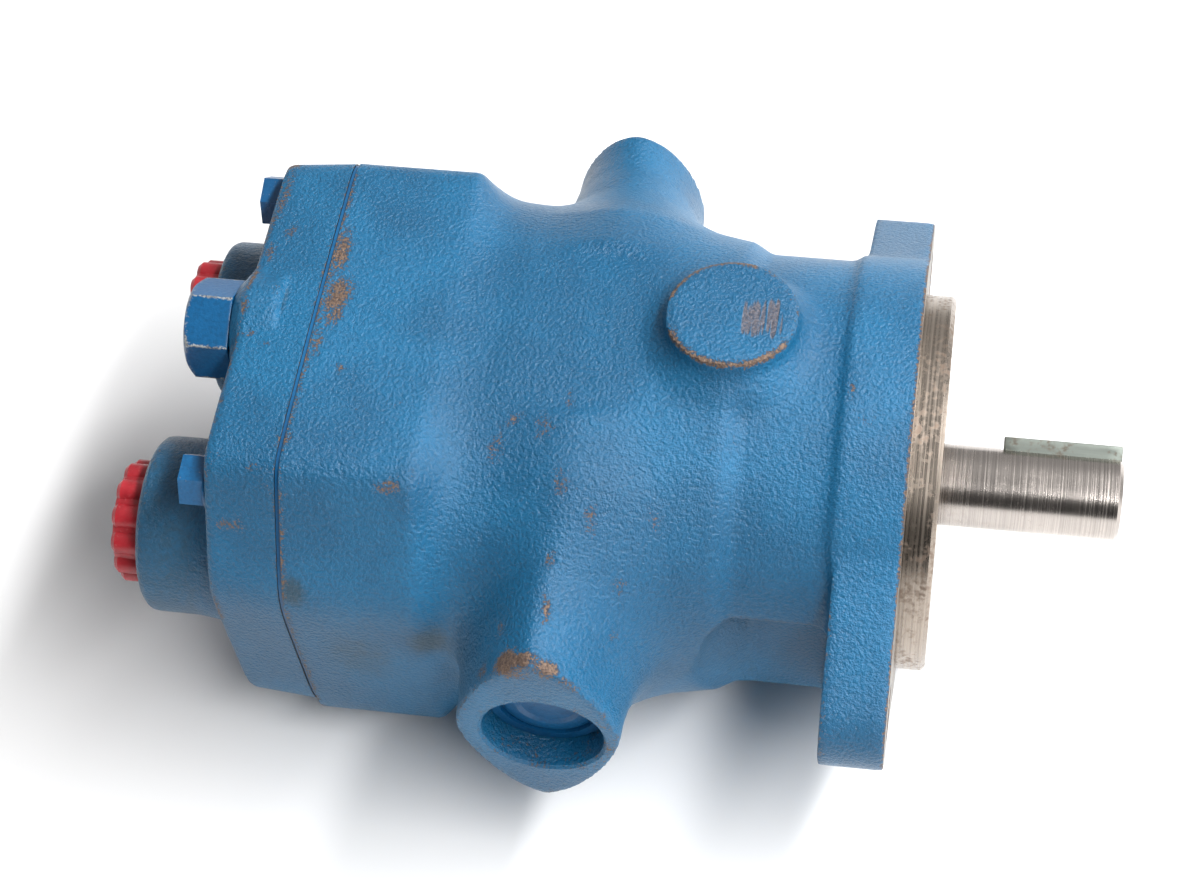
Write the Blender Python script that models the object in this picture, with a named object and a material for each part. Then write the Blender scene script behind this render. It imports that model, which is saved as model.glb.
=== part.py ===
"""Inline variable-displacement axial piston pump, cut into the pieces it is assembled from.

The origin is the centre of the drive shaft's end face. +X runs out of the shaft end, +Z is up, and
Y is parallel to the pintle axis that the yoke tilts about. Every length is in metres.
The yoke is drawn as it stands unpressurised: pushed to full stroke by its spring.
"""
import math

import bmesh
import bpy
from mathutils import Euler, Matrix, Vector

# Drive end
SHAFT_RADIUS = 0.0111125
SHAFT_REACH = 0.056
KEY_SIDE = 0.00635
KEY_LENGTH = 0.032
KEY_TURN = math.radians(-53)
PILOT_RADIUS = 0.0508
PILOT_HEIGHT = 0.008
EAR_HOLE_OFFSET = 0.073
EAR_HOLE_RADIUS = 0.00715
EAR_RADIUS = 0.0149
FLANGE_RADIUS = 0.0595
FLANGE_THICKNESS = 0.017

# Housing and valve block
NECK_RADIUS = 0.0585
COLLAR_RADIUS = 0.0610
CAVITY_RADIUS = 0.053
REAR_CAVITY_RADIUS = 0.0488
SHOULDER_X = -0.176
JOINT_X = -0.2128
BOX_FACES = ((87.5, 0.0577), (29, 0.0722), (-6.3, 0.0690), (-42, 0.0775), (-88, 0.0575))
BLOCK_FRONT_X = -0.2140
BLOCK_REAR_X = -0.2333
BLOCK_FACES = ((87.5, 0.0576), (29, 0.0720), (-6.3, 0.0684), (-42, 0.0748), (-88, 0.0552))
BLOCK_DRAFT = 0.0014
PORT_OFFSET = 0.036
PORT_BOSS_RADIUS = {"near": 0.0240, "far": 0.0225}
PORT_FACE_X = {"near": -0.2580, "far": -0.2550}
PORT_PLUG_REACH = 0.0085
PORT_BORE_RADIUS = 0.0150
BOLT_PLACES = ((-0.0480, 0.0400), (0.0480, 0.0400), (0.0300, -0.0462), (-0.0300, -0.0462))
BOLT_RADIUS = 0.0040
BOLT_HEAD_ACROSS_FLATS = 0.0127
BOLT_HEAD_HEIGHT = 0.0070
PAD_X = -0.104
PAD_RADIUS = 0.0173
PAD_FACE_Z = 0.0668

# Pintles and yoke
PINTLE_X = -0.1432
PINTLE_FACE_Y = 0.0902
PINTLE_BORE_RADIUS = 0.0160
PINTLE_RADIUS = 0.0109
FULL_STROKE = math.radians(17.5)
ARM_REACH = 0.0439

# Rotating group
PISTONS = 9
BORE_CIRCLE_RADIUS = 0.0265
PISTON_RADIUS = 0.0070
BORE_RADIUS = 0.0079
BALL_CIRCLE_RADIUS = BORE_CIRCLE_RADIUS * (3 - math.cos(FULL_STROKE)) / 2
BALL_RADIUS = 0.0042
SHOE_RADIUS = 0.0084
SHOE_SOLE = 0.0060
CYLINDER_BLOCK_RADIUS = 0.0390
CYLINDER_BLOCK_FRONT_X = PINTLE_X - 0.026
CYLINDER_BLOCK_REAR_X = -0.2095

# Compensator
COMPENSATOR_Z = 0.042
COMPENSATOR_BORE_RADIUS = 0.0062
HEX_CAP_ACROSS_FLATS = 0.0235

# Space left between pieces that touch
GAP = 0.0003
COARSE, MEDIUM, FINE = 12, 20, 36
OUTLINE_STEPS = 48
BOSS_STEPS = 28
CORNER_SHARPNESS = 34


def material(name, colour, roughness, metallic=0.0):
    found = bpy.data.materials.get(name)
    if found:
        return found
    made = bpy.data.materials.new(name)
    made.use_nodes = True
    shader = made.node_tree.nodes["Principled BSDF"]
    shader.inputs["Base Color"].default_value = (*colour, 1)
    shader.inputs["Roughness"].default_value = roughness
    shader.inputs["Metallic"].default_value = metallic
    made.diffuse_color = (*colour, 1)
    return made


def blue_paint():
    return material("blue_paint", (0.042, 0.205, 0.43), 0.45)


def ground_steel():
    return material("ground_steel", (0.60, 0.58, 0.56), 0.28, 1)


def dark_steel():
    return material("dark_steel", (0.27, 0.27, 0.28), 0.40, 1)


def zinc_steel():
    return material("zinc_steel", (0.50, 0.52, 0.50), 0.45, 1)


def bronze():
    return material("bronze", (0.62, 0.42, 0.19), 0.35, 1)


def piece_from(name, bm, finish):
    """Turns a bmesh into a named object with outward faces and smooth rounds."""
    bmesh.ops.remove_doubles(bm, verts=bm.verts, dist=1e-7)
    bmesh.ops.recalc_face_normals(bm, faces=bm.faces)
    mesh = bpy.data.meshes.new(name)
    bm.to_mesh(mesh)
    bm.free()
    mesh.materials.append(finish)
    mesh.shade_smooth()
    mesh.set_sharp_from_angle(angle=math.radians(35))
    made = bpy.data.objects.new(name, mesh)
    bpy.context.scene.collection.objects.link(made)
    return made


def lofted(name, rings, finish, closed=False):
    """Skins rings of equal point count; the first and last are capped unless the loft closes."""
    bm = bmesh.new()
    loops = [[bm.verts.new(p) for p in ring] for ring in rings]
    pairs = list(zip(loops, loops[1:]))
    if closed:
        pairs.append((loops[-1], loops[0]))
    else:
        bm.faces.new(loops[0])
        bm.faces.new(loops[-1])
    for a, b in pairs:
        for i in range(len(a)):
            j = (i + 1) % len(a)
            bm.faces.new((a[i], a[j], b[j], b[i]))
    return piece_from(name, bm, finish)


def circle(radius, steps, centre=(0.0, 0.0), turn=0.0):
    angles = [2 * math.pi * (i + turn) / steps for i in range(steps)]
    return [(centre[0] + radius * math.cos(a), centre[1] + radius * math.sin(a)) for a in angles]


def squircle(half_y, half_z, squareness, steps=OUTLINE_STEPS):
    """Outline between an ellipse (squareness 2) and a rectangle (large values), from +Y."""
    points = []
    for i in range(steps):
        c, s = math.cos(2 * math.pi * i / steps), math.sin(2 * math.pi * i / steps)
        reach = (abs(c / half_y) ** squareness + abs(s / half_z) ** squareness) ** (-1 / squareness)
        points.append((reach * c, reach * s))
    return points


def faceted(faces, inset=0.0, steps=OUTLINE_STEPS):
    """Outline with softened corners round faces given as a normal's angle and a distance.

    Each face is matched by one on the other side of the middle.
    """
    points = []
    for i in range(steps):
        a = 2 * math.pi * i / steps
        total = 0
        for degrees, distance in faces:
            for normal in (math.radians(degrees), math.pi - math.radians(degrees)):
                total += max(0, math.cos(a - normal) / (distance - inset)) ** CORNER_SHARPNESS
        reach = total ** (-1 / CORNER_SHARPNESS)
        points.append((reach * math.cos(a), reach * math.sin(a)))
    return points


def between(first, second, share):
    """The outline a given share of the way from one outline to another."""
    return [(a[0] + share * (b[0] - a[0]), a[1] + share * (b[1] - a[1])) for a, b in zip(first, second)]


def turned(name, profile, finish, steps=MEDIUM, closed=False):
    """Revolves (x, radius) points about the X axis."""
    rings = [[(x, y, z) for y, z in circle(radius, steps)] for x, radius in profile]
    return lofted(name, rings, finish, closed)


def ring(name, x0, x1, inner, outer, finish, steps=MEDIUM):
    return turned(name, [(x0, inner), (x0, outer), (x1, outer), (x1, inner)], finish, steps, True)


def prism(name, outline, x0, x1, finish):
    """Extrudes a (y, z) outline from x0 to x1."""
    return lofted(name, [[(x, y, z) for y, z in outline] for x in (x0, x1)], finish)


def rod(x0, x1, radius, centre=(0.0, 0.0), steps=MEDIUM):
    return prism("tool", circle(radius, steps, centre), x0, x1, blue_paint())


def slab(low, high):
    outline = [(low[1], low[2]), (high[1], low[2]), (high[1], high[2]), (low[1], high[2])]
    return prism("tool", outline, low[0], high[0], blue_paint())


def combine(target, tool, operation):
    """Applies one Boolean to the target and removes the tool."""
    bpy.context.view_layer.update()
    modifier = target.modifiers.new(operation, "BOOLEAN")
    modifier.operation = operation
    modifier.object = tool
    modifier.solver = "EXACT"
    graph = bpy.context.evaluated_depsgraph_get()
    result = bpy.data.meshes.new_from_object(target.evaluated_get(graph))
    target.modifiers.clear()
    result.name = target.name
    target.data = result
    bpy.data.objects.remove(tool)
    result.shade_smooth()
    result.set_sharp_from_angle(angle=math.radians(35))
    return target


def join(target, *tools):
    for tool in tools:
        combine(target, tool, "UNION")
    return target


def cut(target, *tools):
    for tool in tools:
        combine(target, tool, "DIFFERENCE")
    return target


def reshaped(made, matrix):
    """Bakes a transform into the mesh, so that the object's own axes stay the row's."""
    made.data.transform(matrix)
    return made


def across(made, centre_x, side=1):
    """Turns a piece drawn along X so that it lies along Y at centre_x, on the given side."""
    turn = Matrix.Rotation(side * math.pi / 2, 4, "Z")
    return reshaped(made, Matrix.Translation((centre_x, 0, 0)) @ turn)


def on_pintle_axis(made):
    """Puts a piece drawn in the yoke's own frame on the pintle axis, tilted to full stroke."""
    made.location = (PINTLE_X, 0, 0)
    made.rotation_euler = Euler((0, FULL_STROKE, 0))
    return made


def spring(name, x0, x1, mean_radius, wire_radius, turns, centre_z=0.0):
    """One round wire wound along X, with its ends cut square to the wire."""
    steps = 9
    total = steps * turns
    pitch = (x1 - x0 - 2 * wire_radius) / turns
    rings = []
    for i in range(total + 1):
        a = 2 * math.pi * i / steps
        middle = Vector((x0 + wire_radius + pitch * i / steps, mean_radius * math.cos(a), 0))
        middle.z = centre_z + mean_radius * math.sin(a)
        outward = Vector((0, math.cos(a), math.sin(a)))
        along = Vector((pitch / (2 * math.pi), -mean_radius * math.sin(a), mean_radius * math.cos(a)))
        sideways = along.normalized().cross(outward)
        rings.append([middle + wire_radius * (c * outward + s * sideways) for c, s in circle(1, 5)])
    return lofted(name, rings, dark_steel())


def flange_outline():
    """The two-bolt flange: a round middle, and an ear at each end joined to it by tangents."""
    reach = math.acos((FLANGE_RADIUS - 0.004 - EAR_RADIUS) / EAR_HOLE_OFFSET)
    points = []
    for side in (1, -1):
        base = 0 if side == 1 else math.pi
        ear = [base - reach + 2 * reach * i / 12 for i in range(13)]
        points += [(side * EAR_HOLE_OFFSET + EAR_RADIUS * math.cos(a), EAR_RADIUS * math.sin(a)) for a in ear]
    return points


def pintle_boss(side):
    """A flared boss: a wide root in the body, drawn out to a rhombic face with round corners."""
    face = (0.0212, 0.0322, 1.5) if side < 0 else (0.0182, 0.0300, 1.8)
    root = (0.0370, 0.0500, 2.2)
    rings = []
    for y, flare in ((0.045, 1), (0.055, 0.66), (0.065, 0.30), (0.076, 0.10), (PINTLE_FACE_Y, 0)):
        shape = [tip + flare * (wide - tip) for tip, wide in zip(face, root)]
        middle = PINTLE_X + 0.0035 * flare + 0.0012 * side
        outline = squircle(*shape, BOSS_STEPS)
        rings.append([(middle + dx, side * y, dz + 0.0015) for dx, dz in outline])
    return lofted("tool", rings, blue_paint())


def body_shell():
    """The casting's outside: flange, round neck, body swelling to a squarish rear, bosses and pad."""
    shell = prism("housing", flange_outline(), -SHAFT_REACH, -SHAFT_REACH - FLANGE_THICKNESS, blue_paint())
    front = -SHAFT_REACH
    profile = [(front + PILOT_HEIGHT, PILOT_RADIUS - 0.001), (front + PILOT_HEIGHT - 0.001, PILOT_RADIUS),
               (front, PILOT_RADIUS), (front, FLANGE_RADIUS), (front - FLANGE_THICKNESS, FLANGE_RADIUS),
               (front - FLANGE_THICKNESS - 0.001, NECK_RADIUS), (-0.1020, NECK_RADIUS)]
    join(shell, turned("tool", profile, blue_paint(), FINE))
    waist, box = squircle(0.0672, 0.0567, 2.6), faceted(BOX_FACES)
    stations = ((-0.0995, squircle(NECK_RADIUS - 0.0005, NECK_RADIUS - 0.0005, 2)),
                (-0.1040, squircle(COLLAR_RADIUS, COLLAR_RADIUS, 2)), (-0.1150, squircle(0.0632, 0.0598, 2.1)),
                (-0.1280, squircle(0.0662, 0.0582, 2.35)), (-0.1600, squircle(0.0672, 0.0570, 2.5)),
                (-0.1690, waist), (-0.1725, between(waist, box, 0.25)), (SHOULDER_X, between(waist, box, 0.75)),
                (-0.1800, box), (JOINT_X, box))
    rings = [[(x, y, z) for y, z in outline] for x, outline in stations]
    join(shell, lofted("tool", rings, blue_paint()))
    pad = prism("tool", circle(PAD_RADIUS, FINE), 0.050, PAD_FACE_Z, blue_paint())
    upright = Matrix.Translation((PAD_X, 0, 0)) @ Matrix.Rotation(-math.pi / 2, 4, "Y")
    return join(shell, pintle_boss(1), pintle_boss(-1), reshaped(pad, upright))


def make_housing():
    housing = body_shell()
    bearing_bore = [(-0.0700, 0.0313), (-0.0864, 0.0313), (-0.0864, 0.0330), (-0.0888, 0.0330),
                    (-0.0888, 0.0313), (-0.0950, 0.0313), (-0.1050, CAVITY_RADIUS - 0.003),
                    (-0.1080, CAVITY_RADIUS), (-0.1700, CAVITY_RADIUS), (-0.1760, REAR_CAVITY_RADIUS),
                    (JOINT_X - 0.001, REAR_CAVITY_RADIUS)]
    cut(housing, turned("tool", bearing_bore, blue_paint(), FINE))
    seal_bore = [(-0.0470, 0.0260), (-0.0520, 0.0260), (-0.0520, 0.0210), (-0.0620, 0.0210),
                 (-0.0620, 0.0150), (-0.0710, 0.0150)]
    cut(housing, turned("tool", seal_bore, blue_paint(), FINE))
    for side in (1, -1):
        hole = rod(-SHAFT_REACH + 0.001, -SHAFT_REACH - 0.040, EAR_HOLE_RADIUS, (side * EAR_HOLE_OFFSET, 0))
        flange_back = -SHAFT_REACH - FLANGE_THICKNESS
        recess = rod(flange_back - 0.0005, -0.1060, 0.0180, (side * EAR_HOLE_OFFSET, 0))
        pocket = [(0.050, PINTLE_RADIUS + 0.002), (0.056, PINTLE_RADIUS + 0.002), (0.056, PINTLE_BORE_RADIUS),
                  (PINTLE_FACE_Y + 0.001, PINTLE_BORE_RADIUS)]
        cut(housing, hole, recess, across(turned("tool", pocket, blue_paint(), FINE), PINTLE_X, side))
    for place in BOLT_PLACES:
        cut(housing, rod(JOINT_X - 0.001, -0.1930, BOLT_RADIUS + GAP, place, COARSE))
    return housing


def make_valve_block():
    rear = BLOCK_REAR_X
    stations = ((BLOCK_FRONT_X, 0), (rear + 0.0015, BLOCK_DRAFT), (rear, BLOCK_DRAFT + 0.0015))
    rings = [[(x, y, z) for y, z in faceted(BLOCK_FACES, inset)] for x, inset in stations]
    block = lofted("valve_block", rings, blue_paint())
    neck = [(rear + 0.006, 0.0142), (rear - 0.0008, 0.0142), (rear - 0.0030, 0.0128)]
    raised = Matrix.Translation((0, 0, COMPENSATOR_Z - 0.0005))
    join(block, reshaped(turned("tool", neck, blue_paint(), FINE), raised))
    for name, side in (("near", -1), ("far", 1)):
        face, radius = PORT_FACE_X[name], PORT_BOSS_RADIUS[name]
        mouth = face - 0.001
        boss = [(rear + 0.010, radius + 0.003), (rear - 0.001, radius + 0.002), (rear - 0.004, radius),
                (face + 0.0025, radius), (face, radius - 0.0025)]
        aside = Matrix.Translation((0, side * PORT_OFFSET, 0))
        join(block, reshaped(turned("tool", boss, blue_paint(), FINE), aside))
        port = rod(mouth, -0.2250, PORT_BORE_RADIUS, (side * PORT_OFFSET, 0), FINE)
        passage = rod(-0.2260, BLOCK_FRONT_X + 0.001, 0.0050, (side * (BORE_CIRCLE_RADIUS + 0.001), 0))
        countersink = [(mouth, PORT_BORE_RADIUS + 0.0037), (face + 0.0013, PORT_BORE_RADIUS)]
        cut(block, port, passage, reshaped(turned("tool", countersink, blue_paint(), FINE), aside))
    for place in BOLT_PLACES:
        cut(block, rod(BLOCK_FRONT_X + 0.001, rear - 0.010, BOLT_RADIUS + GAP, place, COARSE))
    cut(block, rod(BLOCK_FRONT_X + 0.001, -0.2302, 0.0123))
    cut(block, rod(rear - 0.005, -0.2180, COMPENSATOR_BORE_RADIUS, (0, COMPENSATOR_Z)))
    return cut(block, rod(BLOCK_FRONT_X + 0.001, -0.2310, 0.0049, (0, -ARM_REACH)))


def make_gasket():
    outline = faceted(BLOCK_FACES, 0.001)
    sheet = prism("housing_gasket", outline, JOINT_X - GAP, BLOCK_FRONT_X + GAP,
                  material("gasket_paper", (0.03, 0.05, 0.06), 0.9))
    cut(sheet, rod(JOINT_X + 0.001, BLOCK_FRONT_X - 0.001, REAR_CAVITY_RADIUS - 0.0005, steps=FINE))
    cut(sheet, rod(JOINT_X + 0.001, BLOCK_FRONT_X - 0.001, 0.0052, (0, -ARM_REACH)))
    for place in BOLT_PLACES:
        cut(sheet, rod(JOINT_X + 0.001, BLOCK_FRONT_X - 0.001, BOLT_RADIUS + 0.0005, place, COARSE))
    return sheet


def make_cover_bolts():
    seat = BLOCK_REAR_X - GAP
    for number, place in enumerate(BOLT_PLACES, 1):
        head = circle(BOLT_HEAD_ACROSS_FLATS / math.sqrt(3), 6, place, 0.5)
        bolt = prism(f"cover_bolt_{number}", head, seat, seat - BOLT_HEAD_HEIGHT, blue_paint())
        join(bolt, rod(seat - 0.001, -0.1945, BOLT_RADIUS, place, COARSE))


def make_shaft():
    """One turned bar: keyed end, seal journal, bearing seat and collar, neck, driver, rear journal."""
    r = SHAFT_RADIUS
    profile = [(0, r - 0.0008), (-0.0008, r), (-0.0697, r), (-0.0703, 0.0150), (-0.0866, 0.0150),
               (-0.0866, 0.0180), (-0.0900, 0.0180), (-0.0920, 0.0100), (-0.1655, 0.0100),
               (-0.1660, 0.0105), (-0.2095, 0.0105), (-0.2100, 0.0085), (-0.2280, 0.0085), (-0.2290, 0.0075)]
    shaft = turned("drive_shaft", profile, ground_steel(), FINE)
    half = KEY_SIDE / 2 + GAP
    floor = SHAFT_RADIUS - KEY_SIDE / 2 - GAP
    seat = slab((-KEY_LENGTH - 2 * GAP, -half, floor), (0.001, half, 0.02))
    return cut(shaft, reshaped(seat, Matrix.Rotation(KEY_TURN, 4, "X")))


def make_key():
    low = SHAFT_RADIUS - KEY_SIDE / 2
    key = slab((-KEY_LENGTH, -KEY_SIDE / 2, low), (-0.0005, KEY_SIDE / 2, low + KEY_SIDE))
    reshaped(key, Matrix.Rotation(KEY_TURN, 4, "X"))
    key.name = key.data.name = "shaft_key"
    key.data.materials[0] = zinc_steel()
    return key


def make_front_bearing():
    ring("front_bearing_outer_ring", -0.0703, -0.0861, 0.0265, 0.0310, ground_steel(), FINE)
    ring("front_bearing_inner_ring", -0.0706, -0.0861, 0.0153, 0.0196, ground_steel(), FINE)
    middle = -0.0782
    cage = ring("front_bearing_balls", middle - 0.0015, middle + 0.0015, 0.0216, 0.0246, dark_steel(), FINE)
    for i in range(8):
        bm = bmesh.new()
        bmesh.ops.create_uvsphere(bm, u_segments=8, v_segments=5, radius=0.0033)
        a = 2 * math.pi * i / 8
        ball = piece_from("tool", bm, dark_steel())
        join(cage, reshaped(ball, Matrix.Translation((middle, 0.0231 * math.cos(a), 0.0231 * math.sin(a)))))
    ring("front_bearing_snap_ring", -0.0867, -0.0885, 0.0275, 0.0325, dark_steel(), FINE)


def make_rear_bearing():
    ring("rear_bearing", BLOCK_FRONT_X - GAP, -0.2293, 0.0088, 0.0120, ground_steel())


def make_shaft_seal():
    """A metal-cased lip seal: the case fills the bore, and the lip leans in towards the shaft."""
    lip = [(-0.0523, 0.0207), (-0.0617, 0.0207), (-0.0617, 0.0115), (-0.0600, 0.0115), (-0.0590, 0.0135),
           (-0.0560, 0.0135), (-0.0545, 0.0116), (-0.0530, 0.0116), (-0.0523, 0.0135)]
    return turned("shaft_seal", lip, material("seal_rubber", (0.02, 0.02, 0.02), 0.7), MEDIUM, True)


def make_cylinder_block():
    front, rear = CYLINDER_BLOCK_FRONT_X, CYLINDER_BLOCK_REAR_X
    r = CYLINDER_BLOCK_RADIUS
    profile = [(front, r - 0.001), (front - 0.001, r), (rear + 0.001, r), (rear, r - 0.001)]
    block = turned("cylinder_block", profile, dark_steel(), FINE)
    cut(block, rod(front + 0.001, rear - 0.001, 0.0109))
    cut(block, rod(front + 0.001, -0.1905, 0.0148, steps=FINE))
    for i in range(PISTONS):
        a = 2 * math.pi * i / PISTONS
        place = (BORE_CIRCLE_RADIUS * math.cos(a), BORE_CIRCLE_RADIUS * math.sin(a))
        bore = rod(front + 0.001, rear + 0.0035, BORE_RADIUS, place)
        cut(block, bore, rod(rear - 0.001, rear + 0.005, 0.004, place, COARSE))
    return block


def ball_centre(index):
    """Where a piston's ball sits at full stroke, on the ball circle of the tilted yoke."""
    a = 2 * math.pi * index / PISTONS
    along_y = BALL_CIRCLE_RADIUS * math.cos(a)
    along_z = BALL_CIRCLE_RADIUS * math.sin(a)
    tilted = Matrix.Rotation(FULL_STROKE, 3, "Y") @ Vector((0, along_y, along_z))
    return Vector((PINTLE_X, 0, 0)) + tilted


def piston_mesh():
    """Ball, neck and hollow barrel about X, with the ball's centre at the origin."""
    polar = [math.radians(d) for d in (20, 55, 90, 120)]
    ball = [(BALL_RADIUS * math.cos(a), BALL_RADIUS * math.sin(a)) for a in polar]
    barrel = [(-0.0038, 0.0026), (-0.0048, 0.0027), (-0.0095, PISTON_RADIUS), (-0.0515, PISTON_RADIUS),
              (-0.0520, PISTON_RADIUS - 0.0005), (-0.0520, 0.0040), (-0.0200, 0.0040)]
    return turned("piston_1", ball + barrel, ground_steel(), COARSE)


def shoe_mesh():
    """Bronze shoe about X: a flat sole towards +X and a socket that closes past the ball's middle."""
    bore = BALL_RADIUS + 0.0006
    polar = [math.radians(d) for d in (25, 60, 90, 115)]
    socket = [(bore * math.cos(a), bore * math.sin(a)) for a in polar]
    sole = SHOE_SOLE - GAP
    rim = [(socket[-1][0], 0.0056), (SHOE_SOLE - 0.0030, 0.0056), (SHOE_SOLE - 0.0030, SHOE_RADIUS),
           (sole, SHOE_RADIUS)]
    return turned("piston_shoe_1", socket + rim, bronze(), COARSE)


def make_pistons():
    piston, shoe = piston_mesh(), shoe_mesh()
    for i in range(PISTONS):
        if i:
            piston = piston.copy()
            shoe = shoe.copy()
            piston.name = f"piston_{i + 1}"
            shoe.name = f"piston_shoe_{i + 1}"
            bpy.context.scene.collection.objects.link(piston)
            bpy.context.scene.collection.objects.link(shoe)
        piston.location = ball_centre(i)
        shoe.location = ball_centre(i)
        shoe.rotation_euler = Euler((0, FULL_STROKE, 0))


def make_shoe_retainer():
    """The plate that holds the shoe flanges against the yoke, tilted with it."""
    back = SHOE_SOLE - 0.0030 - GAP
    plate = prism("shoe_retainer_plate", circle(0.0350, FINE), back - 0.0018, back, dark_steel())
    cut(plate, rod(back - 0.003, back + 0.001, 0.0154, steps=FINE))
    for i in range(PISTONS):
        a = 2 * math.pi * i / PISTONS
        place = (BALL_CIRCLE_RADIUS * math.cos(a), BALL_CIRCLE_RADIUS * math.sin(a))
        cut(plate, rod(back - 0.003, back + 0.001, 0.0062, place, COARSE))
    return on_pintle_axis(plate)


def make_ball_guide():
    """The spherical washer on the shaft that centres the retainer, and the spring behind it."""
    r = 0.0150
    polar = [math.radians(d) for d in range(76, 137, 10)]
    arc = [(PINTLE_X + r * math.cos(a), r * math.sin(a)) for a in polar]
    turned("spherical_washer", arc + [(arc[-1][0], 0.0104), (arc[0][0], 0.0104)], bronze(), MEDIUM, True)
    spring("block_spring", -0.1902, arc[-1][0] - GAP, 0.0126, 0.0012, 6)


def make_valve_plate():
    """Flat plate with a kidney on each side, pinned to the valve block."""
    steel = ground_steel()
    front, rear = CYLINDER_BLOCK_REAR_X - GAP, BLOCK_FRONT_X + GAP
    plate = prism("valve_plate", circle(0.0380, FINE), front, rear, steel)
    cut(plate, rod(front + 0.001, rear - 0.001, 0.0126, steps=FINE))
    for base in (0, math.pi):
        outline = []
        for radius, way in ((BORE_CIRCLE_RADIUS + 0.0035, 1), (BORE_CIRCLE_RADIUS - 0.0035, -1)):
            angles = [base + way * math.radians(-62 + 124 * i / 10) for i in range(11)]
            outline += [(radius * math.cos(a), radius * math.sin(a)) for a in angles]
        cut(plate, prism("tool", outline, front + 0.001, rear - 0.001, steel))
    return plate


def make_yoke():
    """Swash yoke: a holed plate, a cheek down to each pintle, and an arm above and below."""
    rear, front = 0.0099, 0.0210
    yoke = prism("yoke", circle(0.040, FINE), rear, front, dark_steel())
    join(yoke, slab((rear + 0.0001, -0.0490, -0.0130), (front - 0.0001, 0.0490, 0.0130)))
    for side in (1, -1):
        inner, outer = sorted((side * 0.0412, side * 0.0489))
        join(yoke, slab((-0.0140, inner, -0.0129), (front - 0.0002, outer, 0.0129)))
        low, high = sorted((side * 0.0385, side * 0.0475))
        join(yoke, slab((0.0012, -0.0080, low), (front - 0.0003, 0.0080, high)))
        low, high = sorted((0, side * 0.040))
        join(yoke, slab((rear + 0.0002, -0.0080, low), (front - 0.0004, 0.0080, high)))
    hole = prism("tool", circle(PINTLE_RADIUS + GAP, MEDIUM), -0.060, 0.060, dark_steel())
    cut(yoke, across(hole, 0), rod(rear - 0.001, front + 0.001, 0.0175, steps=FINE))
    return on_pintle_axis(yoke)


def make_swash_plate():
    """Hardened running plate let into the yoke for the shoes to slide on."""
    rear = SHOE_SOLE
    return on_pintle_axis(ring("swash_plate", rear, 0.0099 - GAP, 0.0175, 0.0370, ground_steel(), FINE))


def make_pintles():
    race = PINTLE_RADIUS + GAP
    for name, side in (("near", -1), ("far", 1)):
        pin = prism(f"pintle_{name}", circle(PINTLE_RADIUS, MEDIUM), 0.0415, 0.0735, ground_steel())
        across(pin, 0, side)
        on_pintle_axis(pin)
        bearing = ring(f"pintle_bearing_{name}", 0.0563, 0.0720, race, 0.0157, dark_steel())
        snap_ring = ring(f"pintle_snap_ring_{name}", 0.0802, 0.0814, 0.0132, 0.0157, dark_steel())
        across(bearing, PINTLE_X, side)
        across(snap_ring, PINTLE_X, side)
        plug = [(0.0745, 0.0147), (0.0755, 0.0157), (0.0799, 0.0157), (0.0799, 0.0125), (0.0813, 0.0118)]
        across(turned(f"pintle_plug_{name}", plug, blue_paint(), MEDIUM), PINTLE_X, side)


def make_stroke_control():
    """The yoke spring above the block, and the small control piston in its sleeve below it."""
    top = Matrix.Rotation(FULL_STROKE, 3, "Y") @ Vector((0.0012, 0, ARM_REACH))
    low = Matrix.Rotation(FULL_STROKE, 3, "Y") @ Vector((0.0012, 0, -ARM_REACH))
    spring("yoke_spring", BLOCK_FRONT_X + GAP, PINTLE_X + top.x - 0.0015, 0.0032, 0.0008, 11, ARM_REACH)
    down = Matrix.Translation((0, 0, -ARM_REACH))
    sleeve = ring("control_piston_sleeve", -0.1850, -0.2307, 0.0037, 0.0046, dark_steel(), COARSE)
    reshaped(sleeve, down)
    tip = PINTLE_X + low.x - 0.0016
    profile = [(tip, 0.0010), (tip - 0.0008, 0.0024), (tip - 0.0022, 0.0033), (-0.2290, 0.0033)]
    piston = turned("control_piston", profile, ground_steel(), COARSE)
    piston.data.transform(down)


def make_compensator():
    """Spool and spring in the valve block's top bore, closed by the hexagon cap."""
    raised = Matrix.Translation((0, 0, COMPENSATOR_Z))
    land, waist = 0.0050, 0.0030
    profile = [(-0.2185, land), (-0.2225, land), (-0.2230, waist), (-0.2255, waist), (-0.2260, land),
               (-0.2300, land)]
    reshaped(turned("compensator_spool", profile, ground_steel(), COARSE), raised)
    spring("compensator_spring", -0.2446, -0.2303, 0.0037, 0.0006, 5, COMPENSATOR_Z)
    hexagon = circle(HEX_CAP_ACROSS_FLATS / math.sqrt(3), 6, (0, COMPENSATOR_Z), 0.5)
    seat = BLOCK_REAR_X - 0.0030 - GAP
    cap = prism("compensator_cap", hexagon, seat, -0.2490, blue_paint())
    join(cap, rod(seat - 0.001, -0.2330, 0.0059, (0, COMPENSATOR_Z)))
    cut(cap, rod(-0.2320, -0.2450, 0.0048, (0, COMPENSATOR_Z)))


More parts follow.
